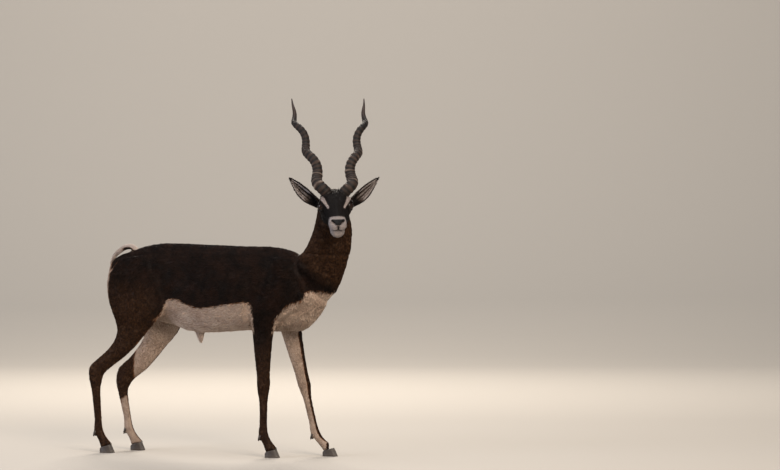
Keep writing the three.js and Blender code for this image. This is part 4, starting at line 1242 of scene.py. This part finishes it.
def ear_leaf(side):
    """The rings of one ear, and for each point its share along, across and its face."""
    share = np.linspace(0, 1, EAR_STEPS)
    half = eased(np.interp(share, EAR_AT, EAR_HALF))[:, None]
    roll = eased(np.interp(share, EAR_AT, EAR_ROLL))[:, None]
    across_share = np.linspace(-1, 1, EAR_COLUMNS)[None, :]
    angle = across_share * roll
    depth = half * (0.9 + 0.1 * roll)
    # the rim wavers a little, and the inner face has two low ribs
    waver = 0.5 * np.sin(9 * share[:, None] + 2 * across_share) * np.abs(across_share) ** 4
    bow = EAR_BOW * np.sin(np.pi * share)[:, None]
    outer = np.stack([share[:, None] * EAR_LENGTH + 0 * angle, half * np.sin(angle) - bow,
                      waver - depth * np.cos(angle)], axis=-1)
    wall = np.minimum(EAR_WALL, half * 0.5) * (1 - 0.6 * np.abs(across_share) ** 3)
    ribs = 0.9 * sum(np.exp(-((across_share - rib) / 0.09) ** 2) for rib in EAR_RIBS)
    rib_fade = smoothstep(share, 0.15, 0.4) * smoothstep(1 - share, 0.05, 0.3)
    wall = wall + ribs * rib_fade[:, None]
    inner = np.stack([share[:, None] * EAR_LENGTH + 0 * angle,
                      (half - wall) * np.sin(angle * 0.98) - bow,
                      waver - (depth - wall) * np.cos(angle * 0.98)], axis=-1)
    along = unit(EAR_TIP - EAR_ROOT)
    opens = unit(EAR_OPENS - along * (EAR_OPENS @ along))
    turn = np.stack([along, np.cross(opens, along), opens])
    rings = np.concatenate([outer, inner[:, ::-1]], axis=1) @ turn + EAR_ROOT
    flat = np.broadcast_to(across_share, outer.shape[:2])
    across_marks = np.concatenate([flat, flat[:, ::-1]], axis=1)
    inside = np.concatenate([np.zeros_like(flat), np.ones_like(flat)], axis=1)
    share_marks = np.broadcast_to(share[:, None], across_marks.shape)
    return rings * (1, side, 1), share_marks, across_marks, inside


def ear_coat(share, across, inside):
    """Pale streaks inside the ear, with a thick dark upper rim, a dark root and a dark tip."""
    upper_rim = 1 - smoothstep(across, 0.5, 0.68)
    lower_rim = 1 - smoothstep(-across, 0.84, 0.95)
    body = smoothstep(share, 0.22, 0.42) * (1 - smoothstep(share, 0.86, 0.95))
    pale = 0.85 * inside * upper_rim * lower_rim * body
    for place, wide, depth in EAR_STREAKS:
        pale = pale * (1 - depth * np.exp(-((across - place) / wide) ** 2))
    return pale


ears = {}
for name, side in SIDES:
    rings, share, across, inside = ear_leaf(side)
    ear_points, ear_faces = loft(rings)
    ear_points = from_head(ear_points, LEVEL_TURN)
    white = ear_coat(share, across, inside).ravel()
    ear_marks = {"white": np.append(white, [0, 0]), "bare": np.zeros(len(ear_points))}
    ear_marks["brown"] = np.append(0.35 * (1 - inside.ravel()), [0, 0])
    # painted shade greys all of the ear, inside and out
    ear_marks["grey"] = np.ones(len(ear_points))
    ear_marks["along"] = np.full(len(ear_points), 0.35)
    # a low shade of its own: the ear is painted darker, as shade
    ear_marks["own_shade"] = np.full(len(ear_points), 0.12)
    ear = new_piece("ear_leaf_" + name, ear_points, ear_faces, skin_coat, ear_marks)
    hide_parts("ear_" + name)
    ears[name] = (ear_points, ear_faces, share, across, inside, ear_marks)
    print(ear.name, "triangles:", len(ear_faces))

# %% [markdown]
# ## The hooves
# Each foot stands on the tips of two long narrow toes. A hoof is a box of horn that grows down
# from the hair line, so it has faint rings level with that line and fine fibres down the wall.
# Here each toe of the solid model is wrapped in small squares and ironed until it is round, while
# its sole stays flat on the floor. Two little false hooves hang behind each fetlock.

# %% The hooves
HOOF_VOXEL = 0.0015
HOOF_IRON_ROUNDS = 9
RING_SPACING = 4.2
RING_HEIGHT = 0.22
SOLE_FLAT = 1.2
# millimetres, as drawn: the fibres of the wall, its dust, and how high the worn edge reaches
HOOF_FIBRE = 10 / 9
HOOF_DUST = 100 / 9
WORN_HEIGHT = 12


def hoof_material():
    """Hoof horn: black brown, dull from dust, with growth rings and fibres down the wall."""
    material, tree = new_material("hoof_horn")
    place = add(tree, "ShaderNodeNewGeometry")
    drawn_out = add(tree, "ShaderNodeVectorMath", {0: place, 1: (1, 1, 0.12)}, operation="MULTIPLY")
    fibre = add(tree, "ShaderNodeTexNoise", {
        "Vector": drawn_out, "Scale": 1000 / HOOF_FIBRE, "Detail": 2.0})
    dust = add(tree, "ShaderNodeTexNoise", {
        "Vector": place, "Scale": 1000 / HOOF_DUST, "Detail": 3.0})
    wall = add(tree, "ShaderNodeMixRGB", {
        "Fac": fibre, "Color1": linear("17120f"), "Color2": linear("3a302a")})
    low = add(tree, "ShaderNodeSeparateXYZ", {"Vector": place}).outputs["Z"]
    dust_stain_and_ridge_light = add(tree, "ShaderNodeMapRange", {
        "Value": low, "From Max": WORN_HEIGHT * MM, "To Min": 0.7, "To Max": 0.12})
    share = add(tree, "ShaderNodeMath", {0: dust_stain_and_ridge_light, 1: dust}, operation="MULTIPLY")
    dusty = add(tree, "ShaderNodeMixRGB", {
        "Fac": share, "Color1": wall, "Color2": linear("52463b")})
    bump = add(tree, "ShaderNodeBump", {"Height": fibre, "Distance": 0.3 * MM})
    finish_material(tree, add(tree, "ShaderNodeBsdfPrincipled", {
        "Base Color": dusty, "IOR": 1.54, "Roughness": 0.5, "Normal": bump}))
    return material


hoof_finish = hoof_material()
hoof_nodes = sorted(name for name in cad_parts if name.startswith("hoof_"))
for name in hoof_nodes:
    toe_points, toe_faces = to_arrays(remeshed(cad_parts[name].data.copy(), HOOF_VOXEL))
    toe_points = ironed(toe_points, edges_of(toe_faces), HOOF_IRON_ROUNDS)
    height = toe_points[:, 2] / MM
    toe_normals = normals_of(toe_points, toe_faces)
    ring = RING_HEIGHT * np.sin(2 * np.pi * height / RING_SPACING) * smoothstep(height, 2, 6)
    toe_points += MM * (ring * (np.abs(toe_normals[:, 2]) < 0.7))[:, None] * toe_normals
    toe_points[:, 2] = np.where(height < SOLE_FLAT, 0, np.maximum(toe_points[:, 2], 0))
    toe = new_piece(name.replace("hoof_", "toe_"), toe_points, toe_faces, hoof_finish)
    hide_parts(name)
print("toes:", len(hoof_nodes), "triangles in the last:", len(toe_faces))

# %% The false hooves
FETLOCK_Z = 74
FETLOCK_IN = 8
# along each false hoof and its radius there
FALSE_HOOF = [(-3, 0.5), (-2, 6.2), (3, 7.2), (10, 6.2), (16, 4.2), (20, 1.6), (21, 0.2)]
FALSE_HOOF_TILT = math.radians(114)
FALSE_HOOF_APART = 9
FALSE_HOOF_SIDES = 20

angle = np.linspace(0, 2 * np.pi, FALSE_HOOF_SIDES, endpoint=False)
profile = np.array(FALSE_HOOF)
cone_rings = np.stack([
    profile[:, :1] + 0 * angle,
    profile[:, 1:] * np.cos(angle),
    profile[:, 1:] * 0.8 * np.sin(angle),
], axis=-1)
cone_tilt = np.array(Matrix.Rotation(FALSE_HOOF_TILT, 3, "Y"))
for leg in LEGS:
    toes = [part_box(f"hoof_{leg}_{place}") for place in ("inner", "outer")]
    # the back of the leg at the height of the fetlock
    middle_y = on_body((toes[0][0] + toes[1][1]) / 2)[1]
    toe_x = on_body(toes[0][0])[0]
    away = np.abs(on_body(points) - (toe_x, middle_y, FETLOCK_Z))
    back = on_body(points[(away < (90, 30, 4)).all(axis=1)])
    back_x, leg_y = back[:, 0].min(), back[:, 1].mean()
    cones = [loft(cone_rings @ cone_tilt.T
                  + (back_x + FETLOCK_IN, leg_y + side * FALSE_HOOF_APART, FETLOCK_Z + 4))
             for side in (-1, 1)]
    cone_faces = np.vstack([cones[0][1], cones[1][1] + len(cones[0][0])])
    new_piece("false_hooves_" + leg, from_body(np.vstack([cones[0][0], cones[1][0]])), cone_faces,
              hoof_finish)
    print("false hooves at", leg, "x", round(float(back_x), 1), "y", round(float(leg_y), 1))

# %% [markdown]
# ## The lie of the hair
# Hair on a living animal streams: from the nose back over the poll, down the neck, back along
# the trunk, and down the legs. A groomer's few guide strokes say it: each has a place and a
# direction. Every point of the skin takes a blend of the strokes near it, which is then laid flat
# on the skin and evened out with its neighbours.

# %% Guide strokes
GUIDES = [
    # place, direction, reach: the back, the side, the belly and the rump
    ((180, 0, 740), (-1, 0, 0), 90),
    ((-50, 0, 740), (-1, 0, 0), 150),
    ((-240, 20, 720), (-1, 0, -0.15), 90),
    ((80, 110, 620), (-1, 0, -0.35), 110),
    ((-80, 110, 610), (-1, 0, -0.3), 110),
    ((-30, 40, 480), (-1, 0, 0), 110),
    ((-370, 40, 650), (-0.3, 0, -1), 70),
    # the thigh, the hind leg, the shoulder and the foreleg
    ((-270, 90, 600), (-0.6, 0, -0.9), 80),
    ((-300, 80, 440), (-0.35, 0, -1), 80),
    ((-430, 70, 300), (-0.1, 0, -1), 80),
    ((-440, 60, 100), (0, 0, -1), 110),
    ((230, 80, 640), (-0.6, 0, -0.8), 80),
    ((190, 70, 510), (-0.3, 0, -1), 70),
    ((220, 60, 330), (0, 0, -1), 110),
    ((240, 60, 100), (0, 0, -1), 120),
    # the breast and the neck
    ((370, 0, 560), (-0.25, 0, -1), 80),
    ((350, 40, 700), (-0.5, 0, -0.9), 80),
    ((440, 30, 840), (-0.35, 0, -1), 80),
]
HEAD_GUIDES = [
    # the bridge of the nose, the forehead, the cheek and the chin, in the frame of the head
    ((90, 0, 15), (-1, 0, 0.1), 45),
    ((20, 0, 45), (-1, 0, 0.35), 45),
    ((30, 45, -15), (-1, 0.1, -0.3), 40),
    ((-30, 50, -30), (-0.8, 0.2, -0.8), 45),
    ((70, 15, -55), (-1, 0, -0.2), 40),
]
LIE_ROUNDS = 8
HEAD_LIE_ABOVE = 0.78


def streamed(places, guides):
    """The blend of the guide strokes near each place, the same on both sides."""
    total = np.zeros_like(places)
    for place, direction, reach in guides:
        for side in (1, -1):
            away = ((places - np.array(place) * (1, side, 1)) ** 2).sum(axis=1)
            share = np.exp(-away / reach ** 2) + 1e-5 / (1 + away / 1e4)
            total += share[:, None] * unit(np.array(direction) * (1.0, side, 1.0))
    return unit(total)


def laid_flat(directions, normals):
    return unit(directions - (directions * normals).sum(axis=1, keepdims=True) * normals)


body_places = on_body(points)
head_places = on_head(points)
head_share = smoothstep(head_places[:, 0], -95, -45) * smoothstep(head_places[:, 2], -110, -70)
head_share = head_share * (np.abs(head_places[:, 1]) < 90) * (points[:, 2] > HEAD_LIE_ABOVE)
streams = streamed(head_places, HEAD_GUIDES) @ np.array(HEAD_TURN).T
lie = streamed(body_places, GUIDES) * (1 - head_share[:, None]) + streams * head_share[:, None]
for _ in range(LIE_ROUNDS):
    lie = laid_flat(averaged(lie, edges, len(points)), normals)
print("guides:", len(GUIDES) + len(HEAD_GUIDES))

# %% [markdown]
# ## Tufts
# A blackbuck's summer coat is short and close. Most of it is bump on the skin, but hair also
# breaks the outline, so thin tufts are laid over every part: two centimetres on the trunk and a
# few millimetres on the face and feet. Each is a closed wedge of eight triangles, with a wide
# root sunk in the skin, a ridge along its middle and a sharp tip that barely lifts. They are
# scattered at random, more densely where they are small, and joined in one mesh for each region.

# %% The shape of one tuft
# For each corner of a wedge: share of the length, share of half the width, share of the height
TUFT_CORNERS = np.array([
    (0, -1, -0.35), (0, 1, -0.35), (0.5, -0.75, 0.4), (0.5, 0.75, 0.4), (0.45, 0, 0.95), (1, 0, 1),
])
TUFT_FACES = np.array([
    (0, 3, 1), (0, 2, 3), (0, 4, 2), (1, 3, 4), (0, 1, 4), (2, 5, 3), (2, 4, 5), (3, 5, 4),
])
# how large a tuft is on the unwrapped skin
PATCH = 0.003


def tufts(roots, normals, directions, lengths, widths, lifts):
    """Wedges from roots in metres, with sizes in millimetres, and the share along each of them."""
    across = np.cross(normals, directions)
    along, side, up = TUFT_CORNERS.T
    corner_points = roots[:, None] + MM * (
        lengths[:, None, None] * along[None, :, None] * directions[:, None]
        + widths[:, None, None] / 2 * side[None, :, None] * across[:, None]
        + lifts[:, None, None] * up[None, :, None] * normals[:, None])
    faces = TUFT_FACES[None] + len(TUFT_CORNERS) * np.arange(len(roots))[:, None, None]
    return corner_points.reshape(-1, 3), faces.reshape(-1, 3)


def unwrap_patches(obj, flat_places, corners=TUFT_CORNERS[:, [0, 1]] * (1, 0.5) - (0.5, 0)):
    """The OFBake map: each tuft is a small patch at the place of its root on the unwrapped skin."""
    places = flat_places.clip(PATCH, 1 - PATCH)[:, None] + PATCH * corners[None]
    index = np.empty(len(obj.data.loops), np.int32)
    obj.data.loops.foreach_get("vertex_index", index)
    layer = obj.data.uv_layers.new(name="OFBake")
    layer.data.foreach_set("uv", places.reshape(-1, 2)[index].astype(np.float32).ravel())


def coat_piece(name, roots, root_normals, directions, sizes, marks, flat_places, slot):
    """One mesh of tufts. The sizes are length, width and lift, and the marks are one per root."""
    tuft_points, tuft_faces = tufts(roots, root_normals, directions, *sizes)
    corners = len(TUFT_CORNERS)
    spread = {key: np.repeat(values, corners) for key, values in marks.items()}
    spread["along"] = np.tile(TUFT_CORNERS[:, 0], len(roots))
    piece = new_piece(name, tuft_points, tuft_faces, hair_coat, spread)
    unwrap_patches(piece, flat_places)
    print(name, "tufts:", len(roots), "triangles:", len(tuft_faces))
    return piece


print("corners:", len(TUFT_CORNERS), "faces:", len(TUFT_FACES))

# %% [markdown]
# Roots are drawn at random over the triangles of the skin. A triangle's chance is its area times
# how dense the coat is there. The tuft then takes the skin's normal and lie at its root, turned a
# few degrees at random, as no two tufts lie quite alike.

# %% Scatter the roots over the skin
# each tuft is turned at random by about this much, and all of them in slow waves
RESTLESS = math.radians(7)
WAVE_TURN = math.radians(6)
WAVE_LENGTH = 70


def hair_length(places, head, face, normals):
    """Millimetres of hair at each place on the body."""
    x, y, z = places.T
    length = 9 + 8 * smoothstep(z, 380, 520)
    length = length - 2.5 * smoothstep(-z, -200, -80)
    length = length + 4 * smoothstep(-normals[:, 2], 0.2, 0.8) * smoothstep(z, 380, 460) * (z < 560)
    rump = smoothstep(-x, 370, 430) * smoothstep(z, 520, 600)
    throat = smoothstep(z, 640, 760) * (x > 250) * smoothstep(normals[:, 0] - normals[:, 1], 0.2, 1)
    length = length - 5 * rump + 5 * throat
    on_face = 4.2 + 5 * smoothstep(-head[:, 0], -30, 40) - 1.4 * smoothstep(head[:, 0], 70, 105)
    poll = np.exp(-to_line(head, (-30, 0, 52), (5, 0, 50)) ** 2 / 400)
    return length * (1 - face) + (on_face + 6 * poll) * face


skin_areas = np.linalg.norm(facings(points, triangles), axis=1) / 2
skin_middles = points[triangles].mean(axis=1)
middle_normals = unit(normals[triangles].mean(axis=1))
middle_face = head_share[triangles].mean(axis=1)
middle_lengths = hair_length(
    on_body(skin_middles), on_head(skin_middles), middle_face, middle_normals)
bare_skin = marks["bare"][triangles].mean(axis=1) > 0.35
eye_gap = np.zeros(len(triangles), bool)
for side in (-1, 1):
    _, distance, outward, lean_x, lean_z = eye_parts(on_head(skin_middles), side)
    eye_gap |= (distance < EYE_RADIUS + 8) & (outward > 0) & (opening(lean_x, lean_z) < 1.35)
crowding = skin_areas / middle_lengths ** 1.25 * ~(bare_skin | eye_gap)
print("longest hair:", middle_lengths.max().round(1), "shortest:", middle_lengths.min().round(1))


def own_shades(count, usual, uneven, more=0):
    """A shade for each tuft or lock, from 0 for the darkest to 1 for the lightest."""
    return np.clip(usual + uneven * rng.normal(size=count) + more, 0, 1)


def scatter(chosen, count):
    """Roots on the chosen triangles, with their normals, directions, sizes and marks."""
    chances = crowding * chosen
    picked = rng.choice(len(triangles), count, p=chances / chances.sum())
    shares = rng.dirichlet((1, 1, 1), count)[:, :, None]
    corners = triangles[picked]
    roots = (points[corners] * shares).sum(axis=1)
    root_normals = unit((normals[corners] * shares).sum(axis=1))
    directions = laid_flat((lie[corners] * shares).sum(axis=1), root_normals)
    places = on_body(roots) / WAVE_LENGTH * 2 * np.pi
    wave = np.sin(places[:, 0] + 1.3 * places[:, 2]) * np.sin(places[:, 1] - 0.7 * places[:, 2])
    angle = (RESTLESS * rng.normal(size=count) + WAVE_TURN * wave)[:, None]
    directions = directions * np.cos(angle) + np.cross(root_normals, directions) * np.sin(angle)
    lengths = middle_lengths[picked] * rng.uniform(0.75, 1.2, count)
    widths = (0.5 + 0.075 * lengths) * rng.uniform(0.8, 1.25, count)
    lifts = (0.35 + 0.12 * lengths) * rng.uniform(0.6, 1.15, count)
    # a tuft's colour is read a little off its root, so that the edges of the markings mingle
    astray = roots + MM * rng.normal(0, 1, (count, 3)) * np.minimum(lengths / 6, 2.4)[:, None]
    own_marks = markings(astray, root_normals)
    own_marks["own_shade"] = own_shades(count, 0.45, 0.2, 0.12 * wave)
    return roots, root_normals, directions, (lengths, widths, lifts), own_marks


# %% [markdown]
# The skin is shared out in regions, so that no mesh of tufts grows too heavy. Each region has an
# axis of its own, and the place of a root on the unwrapped skin is its angle round that axis and
# its share along it, as when a tube is slit open and laid flat.

# %% The regions of the coat
MAP_EDGE = 0.02


def on_map(shares):
    """Shares from 0 to 1, drawn in a little from the edge of the unwrapped skin."""
    return MAP_EDGE + (1 - 2 * MAP_EDGE) * shares


def round_axis(roots, start, end):
    """The angle round an axis and the share along it, both from 0 to 1."""
    start, end = from_body(start), from_body(end)
    along = unit(end - start)
    aside = unit(np.cross(along, (0.31, 0.95, 0.05)))
    away = roots - start
    angle = np.arctan2(away @ np.cross(along, aside), away @ aside) / (2 * np.pi) + 0.5
    share = away @ along
    share = (share - share.min()) / (share.max() - share.min())
    return on_map(np.stack([angle, share], axis=1))


middles_on_body = on_body(skin_middles)
mx, my, mz = middles_on_body.T
head_region = middle_face > 0.5
tail_region = tail_marks(middles_on_body, middle_normals)[1] & ~head_region
neck_region = (mz + 0.75 * (mx - 363) > 660) & (mx > 200) & ~head_region
fore_region = (mz < 462) & (mx > 110) & ~head_region
hind_region = (mz < 500 - 0.3 * np.abs(mx + 200)) & (mx < -190)
torso_region = ~(head_region | tail_region | neck_region | fore_region | hind_region)

right = my < 0
REGIONS = [
    # what follows "coat_" in its name, where, tufts, two places on its axis, slot
    ("head", head_region, 21000, ((440, 0, 900), (560, -200, 840)), "coat_dark"),
    ("neck", neck_region, 21000, ((300, 0, 640), (470, 0, 900)), "coat_neck"),
    ("torso_front", torso_region & (mx > 120), 23500, ((0, 0, 620), (300, 0, 600)), "coat_dark"),
    ("torso_mid", torso_region & (mx <= 120) & (mx > -130), 23500, ((0, 0, 610), (300, 0, 610)),
     "coat_dark"),
    ("torso_rear", torso_region & (mx <= -130), 23500, ((-400, 0, 620), (0, 0, 600)), "coat_dark"),
    ("foreleg_right", fore_region & right, 9500, ((190, -70, 0), (190, -70, 450)), "coat_leg"),
    ("foreleg_left", fore_region & ~right, 9500, ((310, 66, 0), (300, 66, 450)), "coat_leg"),
    ("hind_leg_right", hind_region & right, 11500, ((-470, -72, 0), (-330, -72, 480)), "coat_leg"),
    ("hind_leg_left", hind_region & ~right, 11500, ((-420, 72, 0), (-270, 72, 480)), "coat_leg"),
]
for name, chosen, count, axis, slot in REGIONS:
    grown = scatter(chosen, count)
    coat_piece("coat_" + name, *grown, round_axis(grown[0], *axis), slot)

# %% [markdown]
# ## The fringe of the tail
# The tail is held up in an arch. Its hair is the longest on the animal, and a straight wedge
# would stand off the bend like a thorn. So here each lock follows the arch: a line of five
# places, each further along the tail and a little further out, with three sides round it.

# %% The shape of one lock
LOCK_SHARES = np.array([0, 0.25, 0.5, 0.75, 1])
LOCK_WIDTHS = np.array([0.8, 1, 0.9, 0.6, 0.06])


def locks(lines, outward, widths):
    """Three-sided locks along rows of points in metres, with their flat side to the body."""
    count, steps = lines.shape[:2]
    tangent = unit(np.gradient(lines, axis=1))
    across = unit(np.cross(outward, tangent))
    half = widths[:, None, None] * LOCK_WIDTHS[None, :, None] * MM / 2
    corners = [lines - half * across, lines + half * across, lines + 0.8 * half * outward]
    index = np.arange(steps * 3).reshape(steps, 3)
    faces = np.vstack([bands(index), [index[0, ::-1], index[-1]]])
    faces = faces[None] + steps * 3 * np.arange(count)[:, None, None]
    return np.stack(corners, axis=2).reshape(-1, 3), faces.reshape(-1, 3)


print("triangles in a lock:", 6 * (len(LOCK_SHARES) - 1) + 2)

# %% Where the tail's locks lie
TAIL_LOCKS = 2600
# the hair goes on past the flesh and lies down along the edge of the rump
LOCK_PATH = TAIL_PATH + [(-449, -12, 678)]
FLESH_SHARE = 0.82
TAIL_LENGTH = float(np.linalg.norm(np.diff(LOCK_PATH, axis=0), axis=1).sum())
tail_at = FLESH_SHARE * rng.uniform(0.02, 0.98, TAIL_LOCKS) ** 0.8
tail_round = rng.uniform(-np.pi, np.pi, TAIL_LOCKS)
tail_lengths = np.interp(tail_at, [0, 0.2, 0.65, FLESH_SHARE], [12, 28, 34, 26])
tail_lengths = tail_lengths * rng.uniform(0.7, 1.1, TAIL_LOCKS)
reached = tail_at[:, None] + LOCK_SHARES * tail_lengths[:, None] / TAIL_LENGTH
inside_share = np.minimum(reached, 0.999)
tail_axis = along_curve(LOCK_PATH, inside_share.ravel()).reshape(TAIL_LOCKS, -1, 3)
tail_along = unit(along_curve(LOCK_PATH, np.minimum(inside_share + 0.01, 1).ravel())
                  - along_curve(LOCK_PATH, inside_share.ravel() - 0.01)).reshape(TAIL_LOCKS, -1, 3)
# past the end of the flesh a lock goes straight on
tail_axis = tail_axis + ((reached - inside_share) * TAIL_LENGTH)[..., None] * tail_along
tail_up = unit(np.cross(tail_along, (0, 1, 0)))
spread = tail_round[:, None] + 0.1 * rng.normal(size=(TAIL_LOCKS, 1)) * LOCK_SHARES
aside, over = np.sin(spread)[..., None], np.cos(spread)[..., None]
tail_radius = np.interp(inside_share, [0, 0.2, 0.6, 0.8, 1], [10, 8.6, 6.6, 4, 1.5]) - 1.2
tail_lift = 3.2 * LOCK_SHARES ** 0.7 * rng.uniform(0.5, 1.2, (TAIL_LOCKS, 1))
out_there = aside * np.array((0, 1, 0)) + over * tail_up
tail_lines = tail_axis + (tail_radius + tail_lift)[..., None] * out_there
tail_lines = tail_lines + 5 * aside * (LOCK_SHARES ** 1.3)[None, :, None] * np.array((0, 1, 0))
print("longest lock in mm:", tail_lengths.max().round(1))

# %% The tail's locks as one piece
lock_points, lock_faces = locks(from_body(tail_lines), out_there, rng.uniform(1.6, 2.8, TAIL_LOCKS))
tail_white, _ = tail_marks(tail_lines[:, 1], out_there[:, 1])
# the tail's locks carry half the painted shade, as the tail's skin does
tail_mark = {"white": tail_white, "brown": np.zeros(TAIL_LOCKS), "bare": np.zeros(TAIL_LOCKS),
             "grey": np.full(TAIL_LOCKS, 0.5),
             "own_shade": own_shades(TAIL_LOCKS, 0.55, 0.25)}
tail_mark = {key: np.repeat(values, 3 * len(LOCK_SHARES)) for key, values in tail_mark.items()}
tail_mark["along"] = np.tile(np.repeat(LOCK_SHARES, 3), TAIL_LOCKS)
tail_hair = new_piece("coat_tail", lock_points, lock_faces, hair_coat, tail_mark)
tail_flat = on_map(np.stack([tail_round / (2 * np.pi) + 0.5, tail_at], axis=1))
lock_corners = np.stack([np.repeat(LOCK_SHARES, 3), np.tile([0, 1, 0.5], len(LOCK_SHARES))], axis=1)
unwrap_patches(tail_hair, tail_flat, lock_corners - 0.5)
print("tail locks:", TAIL_LOCKS, "triangles:", len(lock_faces))

# %% [markdown]
# ## Hair on the ears
# The back of an ear has the shortest hair. Inside, long white hair springs from the two ribs and
# points to the tip, and a soft edge of hair breaks the rim.

# %% Hair on both ears
EAR_TUFTS = 3600

for name, side in SIDES:
    ear_points, ear_faces, share, across, inside, ear_marks = ears[name]
    weighted = facings(ear_points, ear_faces)
    share, across, inside = [np.append(values.ravel(), [0, 1])[ear_faces].mean(axis=1)
                             for values in (share, across, inside)]
    # hair grows thicker on the inner face, and none on the very root
    chances = np.linalg.norm(weighted, axis=1) * (share > 0.03) * (1 + 1.5 * inside)
    picked = rng.choice(len(ear_faces), EAR_TUFTS, p=chances / chances.sum())
    roots = ear_points[ear_faces[picked]].mean(axis=1) + MM * rng.normal(0, 0.5, (EAR_TUFTS, 3))
    root_normals = unit(weighted[picked])
    inner = inside[picked] > 0.5
    rim = smoothstep(np.abs(across[picked]), 0.75, 0.98)
    tip, root = [from_head(place * (1, side, 1), LEVEL_TURN) for place in (EAR_TIP, EAR_ROOT)]
    directions = laid_flat(unit(tip - root) + 0.12 * rng.normal(size=(EAR_TUFTS, 3)), root_normals)
    own_marks = {key: ear_marks[key][ear_faces].mean(axis=1)[picked]
                 for key in ("white", "brown", "bare", "grey")}
    on_rib = inner * (1 - rim) * smoothstep(own_marks["white"], 0.3, 0.7)
    lengths = (4.5 + 1.5 * rim + 8 * on_rib) * rng.uniform(0.7, 1.15, EAR_TUFTS)
    sizes = (lengths, 0.5 + 0.07 * lengths, 0.5 + 0.13 * lengths * (1 + on_rib))
    # the ear's tufts take a low shade of their own, painted darker as shade
    own_marks["own_shade"] = own_shades(EAR_TUFTS, 0.25, 0.2)
    # the outer face takes one half of the map, and the inner face the other
    flat = np.stack([0.25 + 0.5 * inner + 0.22 * across[picked], on_map(share[picked])], axis=1)
    coat_piece("coat_ear_" + name, roots, root_normals, directions, sizes, own_marks, flat,
               "coat_ear")

# %% [markdown]
# ## Close
# The visual model is meant to keep the solid model's size, so both boxes are printed.

# %% Print the sizes and finish
sizes = {"cad": cad_box, "visual": [list(corner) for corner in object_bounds()]}
print("sizes:", sizes)
